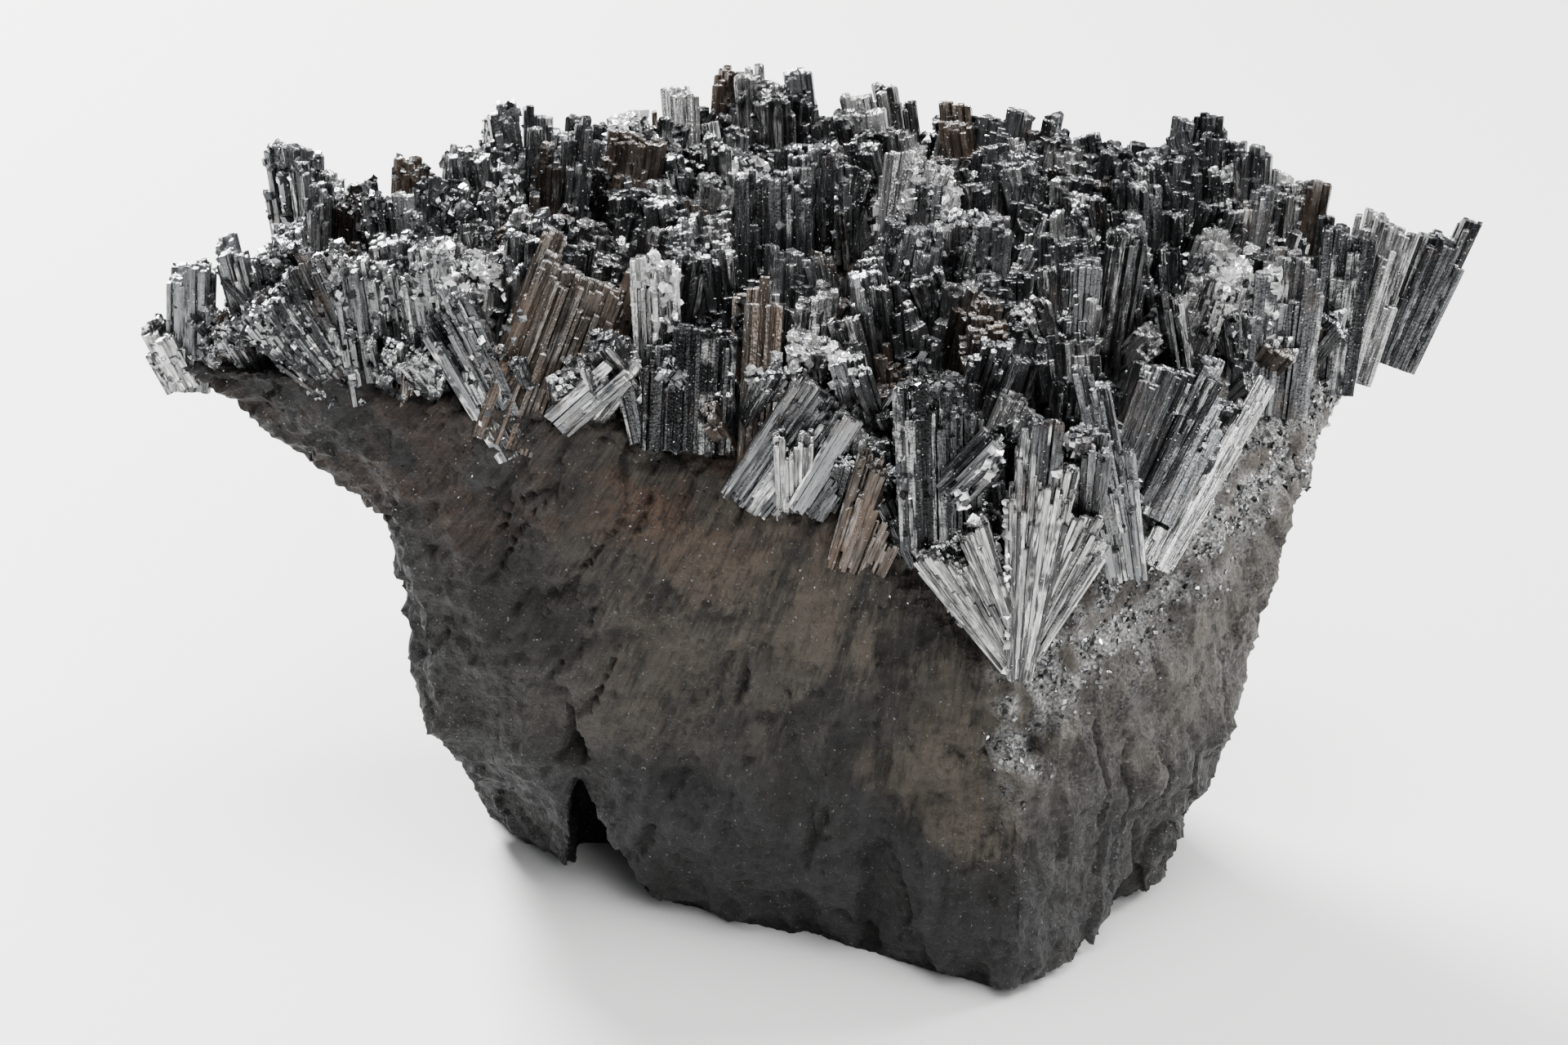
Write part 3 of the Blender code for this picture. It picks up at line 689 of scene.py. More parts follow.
@dataclass
class Bundle:
    """A bundle of parallel or spreading prisms, in mm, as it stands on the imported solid.

    root and tip are the ends of its axis, width and depth its section at the tip, spread the
    root's section over the tip's, turn the roll about its own axis in degrees, pitch the room that
    each prism has, buried how deep its prisms start below the root, short how far they all stop
    before the solid's end, ragged how much higher than buried some of them start, and tone their
    own where it isn't their sheaf's.
    """

    root: Triple
    tip: Triple
    width: float
    depth: float
    spread: float = 1.0
    turn: float = 0.0
    pitch: float = 0.31
    buried: float = 0.8
    short: float = 0.0
    ragged: float = 0.0
    tone: Tone | None = None

    def axes(self) -> tuple[Vector, Vector, Vector, float]:
        """Its side, back and own axis, and its length."""
        axis = Vector(self.tip) - Vector(self.root)
        length = axis.length
        axis.normalize()
        roll = Matrix.Rotation(math.radians(self.turn), 3, axis)
        side = roll @ axis.cross(Vector((0, 1, 0))).normalized()
        return side, axis.cross(side), axis, length

    def prisms(self, solid: BVHTree | None, name: str) -> list[Prism]:
        """Fills the bundle with thin prisms that end where the solid ends.

        Args:
            solid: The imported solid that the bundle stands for, in metres, if it has one.
            name: What seeds the bundle's own variation.

        Returns:
            The prisms, those that miss the solid left out.
        """
        side, back, axis, length = self.axes()
        chance = random.Random(name)
        across = max(2, round(self.width / self.pitch))
        through = max(2, round(self.depth / self.pitch))
        steps = [[chance.choice(STEPS) for _ in range(across)] for _ in range(through)]
        chips = [[chance.choice(CHIPS) for _ in range(across)] for _ in range(through)]
        shade = chance.random()
        outer = 2 if across > THICK else 1
        made = []
        for i in range(across):
            for j in range(through):
                u = ((i + 0.5) / across - 0.5 + chance.uniform(-0.2, 0.2) / across) * self.width
                v = ((j + 0.5) / through - 0.5 + chance.uniform(-0.3, 0.3) / through) * self.depth
                offset = side * u + back * v
                direction = (axis * length + offset * (1 - self.spread)).normalized()
                direction = (direction + any_way(chance, 1, 3) * WOBBLE).normalized()
                start = Vector(self.root) + offset * self.spread
                reach = self.reach_of(solid, start, direction, length) if solid else length
                if reach is None:
                    continue
                step = steps[j // 2][i // STEP_WIDTH] + chance.choice(STEPS) * OWN_STEP
                reach -= self.short + step * min(1.0, length / FULL_STEPS) + chance.uniform(0.0, 0.1)
                if min(i, across - 1 - i, j, through - 1 - j) < outer:
                    reach *= chips[j // 2][i // 2]
                width = self.width / across * chance.uniform(*OVERLAP)
                depth = self.depth / through * chance.uniform(*OVERLAP)
                foot = self.buried - self.ragged * chance.random() ** 2
                lot = 0.25 + 0.5 * shade + chance.uniform(-0.25, 0.25)
                tall = max(reach, SHORTEST) + foot
                made.append(Prism(start - direction * foot, direction, side, width, depth, tall, lot))
        return made

    def reach_of(self, solid: BVHTree, start: Vector, direction: Vector, length: float) -> float | None:
        """How far the solid reaches along a line from the root, or None where it isn't there."""
        over = length + RAY_START
        origin = (start - PLAN_CENTRE + direction * over) * MM
        place, normal, _, distance = solid.ray_cast(origin, -direction, over * MM)
        if place is None:
            return None
        reach = over - distance / MM
        if reach > length * STRAY[0]:
            return length * STRAY[1]
        return reach - GRAZED if normal.dot(direction) < GRAZING else reach


def rotated_back(points: np.ndarray, turns: np.ndarray) -> np.ndarray:
    """Points in axes that are turned by XYZ Euler angles, one row of angles for each point."""
    cx, cy, cz = np.cos(turns).T
    sx, sy, sz = np.sin(turns).T
    columns = (
        (cy * cz, cy * sz, -sy),
        (sx * sy * cz - cx * sz, sx * sy * sz + cx * cz, sx * cy),
        (cx * sy * cz + sx * sz, cx * sy * sz - sx * cz, cx * cy),
    )
    return np.stack([sum(points[:, i] * axis[i] for i in range(3)) for axis in columns], axis=1)


Lots = Iterable[tuple[Tone, list[Prism]]]


@dataclass
class Workshop:
    """What every piece is made with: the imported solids, the forms, the trees and the finishes."""

    SKY = Vector((0.0, -0.3, 0.8))  # where grains come from, added to the surface's own direction
    HEADROOM = 2.0  # grains lie only where nothing stands within this distance that way
    GRAIN_TOP = 40.8  # grains lie below this height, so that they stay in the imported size

    frame: dict
    ore_finish: Material = field(default_factory=lambda: OreFinish(OreBlock.FAN_FOCUS).make())
    finishes: dict[Tone, Material] = field(
        default_factory=lambda: {tone: tone.value.make() for tone in Tone}
    )
    forms: Collection = field(default_factory=crystal_forms)
    grains: Collection = field(default_factory=grain_forms)
    crystal_tree: NodeTree = field(default_factory=crystal_tree)
    grain_tree: NodeTree = field(default_factory=grain_tree)
    made: list[Mesh] = field(default_factory=list)

    def solid(self, node: str) -> BVHTree:
        """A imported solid, ready for rays."""
        mesh = self.frame["nodes"][node].data
        faces = [tuple(p.vertices) for p in mesh.polygons]
        return BVHTree.FromPolygons([v.co for v in mesh.vertices], faces)

    def ground(self, rule: Callable[[Vector], float]) -> Mesh:
        """All the crystals so far as one mesh, weighted by that rule wherever they lie open to the air."""
        bm = bmesh.new()
        for mesh in self.made:
            bm.from_mesh(mesh)
        bm.normal_update()
        tree = BVHTree.FromBMesh(bm)
        weights = []
        for vert in bm.verts:
            share = rule(in_mm(vert.co)) * (vert.co.z < self.GRAIN_TOP * MM)
            if share > 0.0:
                way = (vert.normal + self.SKY).normalized()
                hit = tree.ray_cast(vert.co + vert.normal * 0.02 * MM, way, self.HEADROOM * MM)[0]
                share *= hit is None
            weights.append(share)
        mesh = mesh_from(bm, "ground")
        store(mesh, "weight", weights)
        return mesh

    def crystals(self, name: str, prisms: Sequence[Prism], tone: Tone) -> Mesh:
        """A mesh of these prisms in that tone's finish."""
        points = bpy.data.meshes.new(f"{name}_points")
        points.from_pydata([in_scene(p.start) for p in prisms], [], [])
        chance = random.Random(name)
        sizes = [(p.width * MM, p.depth * MM, p.length * MM) for p in prisms]
        store(points, "turn", [tuple(p.turn()) for p in prisms], "FLOAT_VECTOR")
        store(points, "size", sizes, "FLOAT_VECTOR")
        store(points, "lot", [p.lot for p in prisms])
        store(points, "form", [chance.randrange(len(PRISM_SIDES)) for _ in prisms], "INT")
        values = {"Forms": self.forms, "Material": self.finishes[tone], "Section": 1.0}
        mesh = run_tree(name, points, self.crystal_tree, values)
        self.store_own_places(mesh)
        drop(mesh, ("turn", "size", "form"))
        self.made.append(mesh)
        return mesh

    def store_own_places(self, mesh: Mesh) -> None:
        """Stores each point's place in its own prism's axes, in mm, for the grooves along it."""
        places = np.empty(len(mesh.vertices) * 3, np.float32)
        turns = places.copy()
        mesh.vertices.foreach_get("co", places)
        mesh.attributes["turn"].data.foreach_get("vector", turns)
        own = rotated_back(places.reshape(-1, 3) / MM, turns.reshape(-1, 3))
        store(mesh, "local", own, "FLOAT_VECTOR")

    def grow(self, base: str, lots: Lots, node: str = "", main: Tone | None = None) -> None:
        """Makes crystals, in one piece for each tone.

        Args:
            base: What the pieces' names start with.
            lots: Each bundle's tone and prisms.
            node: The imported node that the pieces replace, if they do.
            main: The tone whose piece is called crystals, where the others go by their tones.
        """
        groups: dict[Tone, list[Prism]] = {}
        for tone, prisms in lots:
            groups.setdefault(tone, []).extend(prisms)
        for tone, prisms in groups.items():
            name = f"{base}_{'crystals' if tone is main else tone.name.lower()}"
            piece = add_piece(name, self.crystals(name, prisms, tone))
            if node:
                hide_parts(node)


@dataclass
class Sheaf:
    """A crystal sheaf that stands apart: its node's name, its tone and its bundles."""

    node: str
    tone: Tone
    bundles: list[Bundle]

    def build(self, shop: Workshop) -> None:
        """Makes its crystals in place of its node."""
        solid = shop.solid(self.node)
        lots = (
            (bundle.tone or self.tone, bundle.prisms(solid, f"{self.node} {number}"))
            for number, bundle in enumerate(self.bundles)
        )
        shop.grow(self.node, lots, self.node, self.tone)


def fringe(*sizes: Triple | float, pitch: float = 0.22, buried: float = 0.3, **others: Tone) -> Bundle:
    """A bundle of finer prisms that lies on the ore's face, with ragged lower ends in the open."""
    return Bundle(*sizes, pitch=pitch, buried=buried, ragged=1.4, **others)


SHEAVES = [
    Sheaf(
        "front_spray",
        Tone.PALE,
        [
            fringe((11.6, -18.9, 18.8), (12.4, -17.9, 30.0), 3.6, 2.2, 0.3, pitch=0.21, buried=0.2),
            fringe((11.4, -18.5, 19.2), (7.6, -19.0, 27.2), 4.4, 1.8, 0.3, pitch=0.21, buried=0.2),
            fringe((12.0, -18.6, 20.2), (15.3, -17.6, 27.6), 3.2, 1.8, 0.4, pitch=0.21),
            Bundle((12.0, -18.2, 26.0), (12.5, -17.6, 32.8), 2.0, 1.4, 0.9, pitch=0.24, tone=Tone.STEEL),
        ],
    ),
    Sheaf(
        "dark_front_sheaf",
        Tone.DARK,
        [
            Bundle((7.6, -17.0, 26.0), (7.4, -15.8, 33.6), 4.4, 2.6, 0.9),
            fringe(
                (8.0, -18.6, 28.6), (10.9, -18.4, 31.8), 1.7, 1.3, pitch=0.24, buried=0.2, tone=Tone.STEEL
            ),
        ],
    ),
    Sheaf(
        "brown_slab",
        Tone.BROWN,
        [fringe((3.6, -16.2, 23.6), (5.7, -16.9, 30.2), 3.8, 1.6, 0.75, pitch=0.25)],
    ),
    Sheaf(
        "grey_slab",
        Tone.STEEL,
        [
            fringe((-1.8, -14.2, 26.2), (2.2, -14.7, 32.5), 3.4, 1.8, 0.8),
            fringe((1.2, -15.0, 26.2), (4.3, -15.8, 32.0), 2.6, 1.4, 0.8),
        ],
    ),
    Sheaf(
        "granular_knob",
        Tone.GRANULAR,
        [Bundle((14.2, -16.0, 27.0), (14.0, -17.9, 31.9), 3.2, 2.6, 0.8)],
    ),
    Sheaf(
        "plate_sheaf",
        Tone.STEEL,
        [
            Bundle((16.4, -15.8, 26.2), (14.7, -14.6, 33.9), 1.6, 1.6, 0.9, pitch=0.24),
            fringe((17.0, -15.6, 22.8), (15.8, -15.9, 30.0), 2.4, 1.4, 0.8, pitch=0.24),
        ],
    ),
    Sheaf(
        "right_sheaf",
        Tone.STEEL,
        [
            Bundle((17.2, -13.2, 26.8), (20.0, -11.0, 33.3), 4.6, 2.6, 0.7),
            Bundle((18.8, -13.2, 25.4), (22.3, -9.8, 31.8), 2.4, 1.8, 0.8),
        ],
    ),
    Sheaf("rim_blade", Tone.PALE, [fringe((18.6, -14.0, 22.6), (23.9, -8.6, 30.6), 2.4, 1.3, 0.7)]),
    Sheaf(
        "stepped_block",
        Tone.DARK,
        [
            Bundle((-4.8, -13.0, 29.4), (-4.5, -11.8, 35.6), 4.4, 3.0),
            Bundle((-7.2, -12.8, 29.6), (-8.2, -11.6, 35.0), 1.4, 1.0, 0.8),
            Bundle((-6.2, -10.8, 31.2), (-6.4, -10.2, 37.8), 2.3, 1.7, tone=Tone.PALE),
        ],
    ),
    Sheaf("brown_columns", Tone.BROWN, [Bundle((-1.8, -13.0, 28.4), (-1.3, -9.7, 36.6), 2.8, 2.4)]),
    Sheaf(
        "striated_sheaf",
        Tone.BROWN,
        [
            Bundle((-12.7, -11.2, 28.4), (-8.9, -9.1, 38.0), 5.8, 2.8),
            Bundle((-10.6, -12.5, 30.2), (-7.4, -13.0, 33.4), 1.8, 1.5, 0.9, tone=Tone.STEEL),
        ],
    ),
    Sheaf("left_sheaf", Tone.STEEL, [Bundle((-13.6, -11.8, 28.4), (-17.3, -10.4, 36.2), 3.2, 2.0, 0.6)]),
    Sheaf(
        "left_fan",
        Tone.STEEL,
        [
            Bundle((-22.2, -8.9, 30.2), (-26.4, -7.2, 36.2), 7.2, 2.6, 0.35),
            Bundle((-25.6, -5.2, 30.8), (-26.8, -4.6, 37.4), 4.6, 2.6, 0.9),
        ],
    ),
    Sheaf("left_crust", Tone.GRANULAR, [Bundle((-19.8, -7.8, 30.2), (-20.6, -7.2, 37.4), 7.6, 4.4)]),
    Sheaf(
        "left_tip_sheaf",
        Tone.STEEL,
        [
            Bundle((-30.4, -5.9, 29.6), (-29.9, -5.7, 35.9), 2.2, 2.4),
            Bundle((-31.0, -6.2, 29.8), (-32.3, -6.4, 33.0), 1.6, 2.0, tone=Tone.PALE),
        ],
    ),
    Sheaf(
        "tall_block",
        Tone.DARK,
        [
            Bundle((-0.5, -4.8, 31.6), (-0.5, -3.6, 39.8), 3.8, 2.6),
            Bundle((3.2, -5.0, 31.4), (3.5, -3.8, 39.6), 2.8, 2.4),
            Bundle((1.0, -2.2, 32.0), (1.0, -1.2, 40.6), 3.0, 2.2),
        ],
    ),
    Sheaf("bright_fan", Tone.PALE, [Bundle((5.8, -1.6, 31.8), (7.8, 1.2, 38.6), 5.2, 2.4, 0.5)]),
    Sheaf(
        "right_columns",
        Tone.DARK,
        [
            Bundle((22.0, -8.8, 27.6), (22.2, -7.8, 35.4), 4.0, 2.4, 0.9),
            Bundle((25.2, -5.8, 28.0), (25.8, -4.4, 36.2), 3.6, 2.6, 0.9, tone=Tone.STEEL),
            Bundle((28.2, -3.4, 28.2), (28.8, -2.2, 36.4), 2.9, 2.4, 0.9),
        ],
    ),
    Sheaf(
        "wing_sheaf",
        Tone.STEEL,
        [
            Bundle((29.4, -2.4, 28.4), (31.4, -0.4, 36.2), 3.2, 2.4, 0.8, tone=Tone.PALE),
            Bundle((32.2, -1.2, 28.6), (35.0, 0.4, 35.9), 2.8, 2.2, 0.75),
        ],
    ),
]

TOP_CENTRE = Vector((1.0, -2.0))
TOP_RIM = [
    Vector(corner)
    for corner in (
        (11.0, -19.2), (15.2, -16.4), (21.5, -11.0), (27.0, -6.0), (33.2, -0.4), (27.0, 7.0),
        (12.0, 12.0), (-4.0, 13.0), (-18.0, 8.0), (-28.0, 1.5), (-32.0, -6.8), (-25.0, -9.4),
        (-16.5, -12.2), (-7.5, -13.2), (1.0, -16.0), (7.2, -18.4),
    )
]  # fmt: skip
HIGH_ABOVE = 60.0


def is_within(spot: Vector, share: float) -> bool:
    """Whether a flat point lies inside the top's rim when that is drawn in to a share of its size."""
    point = TOP_CENTRE.lerp(spot, 1 / share)
    crossings = 0
    for a, b in zip(TOP_RIM, [*TOP_RIM[1:], TOP_RIM[0]]):
        if (a.y > point.y) != (b.y > point.y):
            if point.x < a.x + (b.x - a.x) * (point.y - a.y) / (b.y - a.y):
                crossings += 1
    return crossings % 2 == 1


def height_under(spot: Vector, block: BVHTree) -> float | None:
    """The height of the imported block's top at a flat point, in mm, or None beside the block."""
    hit = block.ray_cast(in_scene(Vector((*spot, HIGH_ABOVE))), Vector((0, 0, -1)))[0]
    return None if hit is None else hit.z / MM


def distance_to_axis(point: Vector, bundle: Bundle) -> float:
    """How far a flat point is from the plan of a bundle's lower half."""
    root, tip = Vector(bundle.root[:2]), Vector(bundle.tip[:2])
    half = (tip - root) * 0.5
    along = (point - root).dot(half) / max(half.length_squared, 1e-6)
    return (point - root - half * max(0.0, min(1.0, along))).length


@dataclass
class Druse:
    """The crowd of upright bundles over the rest of the top, one on each free spot of a jittered grid.

    The spots, lengths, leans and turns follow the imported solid's own rule, so that each bundle
    stands where that solid has a prism. margin and edge are shares of the top's rim: bundles stand
    inside the first, and outside the second they start lower.
    """

    seed: int = 10
    corner: Pair = (-34.0, -20.0)
    extent: Pair = (70.0, 36.0)
    pitch: float = 3.5
    row_share: float = 0.87  # a row's pitch over that along a row
    jitter: float = 0.2
    section: Pair = (3.0, 2.5)
    lengths: Pair = (4.2, 8.2)
    level: float = 41.0
    lean: float = 0.17
    margin: float = 0.95
    edge: float = 0.84
    clearance: float = 1.3
    inner_root: Pair = (0.9, 1.8)  # the root's height over the block and its buried depth
    edge_root: Pair = (-1.5, 0.4)
    part_shorts: tuple[Pair, ...] = ((0.2, 0.9), (0.5, 1.8), (1.0, 3.0))
    part_section: Pair = (0.44, 0.66)  # a part's section over its bundle's
    left_end: float = -14.0  # bundles to the left of this are mostly silvery

    def bundles(self, block: BVHTree) -> list[Bundle]:
        """Its bundles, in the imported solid's order of random draws."""
        chance = random.Random(self.seed)
        standing = [bundle for sheaf in SHEAVES for bundle in sheaf.bundles]
        row_pitch = self.pitch * self.row_share
        made = []
        for row in range(round(self.extent[1] / row_pitch)):
            for column in range(round(self.extent[0] / self.pitch)):
                shift = 0.5 * (row % 2) + chance.uniform(-self.jitter, self.jitter)
                x = self.corner[0] + (column + shift) * self.pitch
                y = self.corner[1] + (row + chance.uniform(-self.jitter, self.jitter)) * row_pitch
                length = chance.uniform(*self.lengths)
                lean = any_way(chance, 1, 2) * self.lean * length
                size = chance.uniform(0.85, 1.2)
                turn = chance.uniform(-45, 45)
                spot = Vector((x, y))
                if not is_within(spot, self.margin):
                    continue
                floor = height_under(spot, block)
                if floor is None or any(distance_to_axis(spot, b) < self.clearance for b in standing):
                    continue
                over, buried = self.inner_root if is_within(spot, self.edge) else self.edge_root
                tip_z = min(floor + length, self.level) - lean.length * 0.3
                width, depth = (size * side * 1.1 for side in self.section)
                root, tip = (x, y, floor + over), (x + lean.x, y + lean.y, tip_z)
                made.append(Bundle(root, tip, width, depth, turn=turn, buried=buried))
        return made

    def parted(self, number: int, bundle: Bundle) -> list[Bundle]:
        """The slimmer bundles that a spot's crystal parts into, at leans and heights of their own."""
        chance = random.Random(f"part {number}")
        side, back, _, _ = bundle.axes()
        root, tip = Vector(bundle.root), Vector(bundle.tip)
        shorts = [0.0, *(chance.uniform(*span) for span in self.part_shorts)]
        chance.shuffle(shorts)
        parts = []
        for (i, j), short in zip(((-1, -1), (-1, 1), (1, -1), (1, 1)), shorts):
            offset = side * (i * bundle.width / 4) + back * (j * bundle.depth / 4)
            flare = offset * chance.uniform(0.0, 0.5) + side * chance.uniform(-0.5, 0.5)
            parts.append(
                Bundle(
                    tuple(root + offset),
                    tuple(tip + offset + flare),
                    bundle.width * chance.uniform(*self.part_section),
                    bundle.depth * chance.uniform(*self.part_section),
                    turn=bundle.turn + chance.uniform(-15, 15),
                    pitch=0.33,
                    buried=bundle.buried,
                    short=short,
                    ragged=1.7,
                )
            )
        return parts

    def build(self, shop: Workshop) -> None:
        """Makes the druse in pieces by tone, so that its bundles differ."""
        solid, block = shop.solid("druse_crust"), shop.solid("ore_block")
        lots = (
            (self.tone_at(number, i, bundle), part.prisms(solid, f"druse {number} {i}"))
            for number, bundle in enumerate(self.bundles(block))
            for i, part in enumerate(self.parted(number, bundle))
        )
        shop.grow("druse", lots, "druse_crust")

    def tone_at(self, number: int, part: int, bundle: Bundle) -> Tone:
        """A part's tone: silvery at the left end, mostly dark elsewhere, with a few pale and brown."""
        draw = random.Random(f"tone {number} {part // 2}").random()
        if bundle.root[0] < self.left_end and draw < 0.6:
            return Tone.GRANULAR
        dark_share = 0.3 + 0.32 * eased(bundle.root[0], 2.0, 12.0)
        for share, tone in ((dark_share, Tone.DARK), (0.8, Tone.STEEL), (0.88, Tone.BROWN)):
            if draw < share:
                return tone
        return Tone.PALE


@dataclass
class Sprigs:
    """Short bundles that crowd between the standing crystals.

    lengths and sections are the least and the most, lean how far they tip over, and line the rim
    that they follow; without one they stand all over the top.
    """

    name: str
    count: int
    lengths: Pair
    sections: Pair
    lean: float
    seed: int
    tones: tuple[Tone, ...]
    line: tuple[Pair, ...] = ()
    margin: float = 0.93  # the share of the top's rim that they stand inside
    buried: float = 0.4

    def spot(self, chance: random.Random) -> tuple[Vector, Vector]:
        """A place on the top, and the way out that a sprig there favours."""
        if self.line:
            along = chance.uniform(0, len(self.line) - 1)
            i = min(int(along), len(self.line) - 2)
            start, end = Vector(self.line[i]), Vector(self.line[i + 1])
            run = (end - start).normalized()
            out = Vector((run.y, -run.x))
            return start.lerp(end, along - i) - out * chance.uniform(0.4, 2.8), out * 0.4
        spot = None
        while spot is None or not is_within(spot, self.margin):
            spot = Vector((chance.uniform(-32, 33), chance.uniform(-19, 13)))
        return spot, Vector((0.0, -0.15))

    def lots(self, block: BVHTree) -> list[tuple[Tone, list[Prism]]]:
        """Each sprig's tone and prisms."""
        chance = random.Random(self.seed)
        made = []
        for number in range(self.count):
            spot, out = self.spot(chance)
            floor = height_under(spot, block)
            if floor is None:
                continue
            length = chance.uniform(*self.lengths)
            lean = out + any_way(chance, 1, 2) * self.lean
            direction = Vector((*lean, 1.0)).normalized()
            root = Vector((*spot, floor - self.buried))
            bundle = Bundle(
                tuple(root),
                tuple(root + direction * length),
                chance.uniform(*self.sections),
                chance.uniform(*self.sections) * 0.8,
                chance.uniform(0.6, 1.0),
                chance.uniform(-40, 40),
                pitch=0.25,
            )
            made.append((chance.choice(self.tones), bundle.prisms(None, f"{self.name} {number}")))
        return made

    def build(self, shop: Workshop) -> None:
        """Makes the sprigs, in one piece for each tone."""
        shop.grow(self.name, self.lots(shop.solid("ore_block")))


RIM_TONES = (Tone.STEEL, Tone.DARK, Tone.GRANULAR, Tone.STEEL, Tone.BROWN)
TOP_TONES = (Tone.STEEL, Tone.DARK, Tone.PALE)
FRONT_RIM = (
    (-30.5, -6.4), (-25.0, -8.6), (-16.5, -11.4), (-7.5, -12.4), (1.0, -15.0), (7.2, -17.2),
    (11.0, -17.8), (15.2, -15.4), (21.5, -10.2), (27.0, -5.4), (31.5, -1.2),
)  # fmt: skip
SPRIGS = (
    Sprigs("rim_sprigs", 150, (1.6, 3.8), (0.7, 1.7), 0.4, 21, RIM_TONES, FRONT_RIM),
    Sprigs("top_sprigs", 190, (3.0, 6.6), (0.8, 2.1), 0.65, 22, TOP_TONES),
)


# ---------------------------------------------------------------- ore


def broken(place: Vector) -> Pair:
    """The level of a broken surface, made of flat chips that tilt each its own way, and a chip's tint."""
    chip = noise.voronoi(place)[1][0]
    tilt = noise.noise_vector(chip * 3.7)
    return (place - chip).dot(tilt) + noise.noise(chip * 5.3) * 0.35, noise.noise(chip * 7.9)


@dataclass
class OreBlock:
    """The ore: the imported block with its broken, fibrous surface.

    Each pair is a height in mm and a frequency. The split is a narrow one that runs up from the
    notch's apex. The patches are places in the specimen's own frame.
    """

    FAN_FOCUS = (14.0, 64.0)  # x and z of the place above the specimen that the fibres run from
    MASKS = ("rust", "band", "relief", "tint", "shade")

    voxel: float = 0.3
    bend: Pair = (0.9, 0.3)
    lump: Pair = (0.3, 0.2)
    splinter: Pair = (0.62, 0.3)  # tall chips, each with a tilt and a level of its own
    chip: Pair = (0.3, 0.85)
    ledge: Pair = (0.5, 0.45)
    fibre: Pair = (0.2, 1.25)
    rough: Pair = (0.17, 2.3)
    crevice: Pair = (0.5, 0.4)
    split_x: float = -11.0
    split_start: float = 9.5
    split_height: float = 4.2
    split_half_width: float = 0.9
    split_depth: float = 1.7
    resting: float = 0.15  # the surface stays flat up to this height
    inner: float = 0.25  # how far the whole surface is drawn in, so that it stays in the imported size
    brown_patch: Triple = (8.4, -17.0, 13.0)
    rust_patch: Triple = (-5.5, -12.5, 27.5)

    def relief(self, place: Vector) -> Pair:
        """How far the surface stands out at a point, in mm, and the tint from -1 to 1 of its chip."""
        focus_x, focus_z = self.FAN_FOCUS
        upper = eased(place.z, 12.0, 21.0)
        bent = place + noise.noise_vector(place * self.bend[1]) * self.bend[0]
        lump = noise.noise(place * self.lump[1]) * self.lump[0]
        fanned = (bent.x - focus_x) / (focus_z - bent.z) * focus_z
        splinter, tint = broken(Vector((fanned, bent.y, bent.z * 0.3)) * self.splinter[1])
        chip, small_tint = broken(Vector((bent.x, bent.y, bent.z * 0.8)) * self.chip[1])
        tilted = Vector((bent.x * 0.4, bent.y * 0.4, bent.z * 1.7 - bent.x * 0.35)) * self.ledge[1]
        ledge = (0.3 - abs(noise.noise(tilted + Vector((3, 5, 7))))) * self.ledge[0] * (0.3 + 0.7 * upper)
        fibre = noise.noise(Vector((fanned, bent.y, bent.z * 0.1)) * self.fibre[1]) * self.fibre[0]
        rough = noise.fractal(place * self.rough[1], 0.7, 2.0, 2) * self.rough[0]
        line = 1.0 - abs(noise.noise(Vector((fanned, bent.y, bent.z * 0.05)) * self.crevice[1])) * 11.0
        is_cracked = eased(noise.noise(place * 0.13 + Vector((6, 3, 1))), 0.1, 0.3)
        crevice = eased(line, 0.0, 0.9) * is_cracked * self.crevice[0]
        out = lump + splinter * self.splinter[0] + chip * self.chip[0] + ledge + fibre + rough - crevice
        out -= self.split_at(place)
        return out - self.inner, tint * 0.6 + small_tint * 0.4

    def split_at(self, place: Vector) -> float:
        """How deep the split is at a point, in mm."""
        rise = (place.z - self.split_start) / self.split_height
        if not 0.0 < rise < 1.0 or place.y > 0.0:
            return 0.0
        half = self.split_half_width * (1.0 - rise)
        return eased(1.0 - abs(place.x - self.split_x) / half, 0.0, 0.8) * self.split_depth

    def remeshed(self, shop: Workshop) -> Mesh:
        """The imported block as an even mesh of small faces."""
        bm = bmesh.new()
        bm.from_mesh(shop.frame["nodes"]["ore_block"].data)
        bmesh.ops.remove_doubles(bm, verts=bm.verts, dist=1e-7)
        carrier = linked("ore_coarse", mesh_from(bm, "ore_coarse"))
        remesh = carrier.modifiers.new("even", "REMESH")
        remesh.mode = "VOXEL"
        remesh.voxel_size = self.voxel * MM
        return evaluated(carrier, "ore")

    def build(self, shop: Workshop) -> Mesh:
        """Makes the block, with the masks that its finish reads, and returns its mesh."""
        mesh = self.remeshed(shop)
        low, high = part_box("ore_block")
        points = np.array([v.co for v in mesh.vertices])
        normals = np.array([v.vector for v in mesh.vertex_normals])
        places = [in_mm(Vector(p)) for p in points]
        reliefs = np.array([self.relief(place) for place in places])
        push = reliefs[:, 0] * MM
        push[points[:, 2] < low.z + self.resting * MM] = 0.0
        moved = np.clip(points + normals * push[:, None], low, high)
        mesh.vertices.foreach_set("co", moved.ravel())
        masks = (
            [self.rust_at(place) for place in places],
            [self.band_at(place) for place in places],
            # the relief mask, which the finish uses for painted shade: darker hollows, lighter raised
            # parts
            np.interp(push / MM, (-0.9, 0.3), (0.0, 1.0)),
            reliefs[:, 1],
            [self.shade_at(place) for place in places],
        )
        for name, values in zip(self.MASKS, masks):
            store(mesh, name, values)
        mesh.update()
        mesh.materials.clear()
        mesh.materials.append(shop.ore_finish)
        for face in mesh.polygons:
            face.use_smooth = True
        piece = add_piece("ore", mesh)
        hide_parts("ore_block")
        return mesh

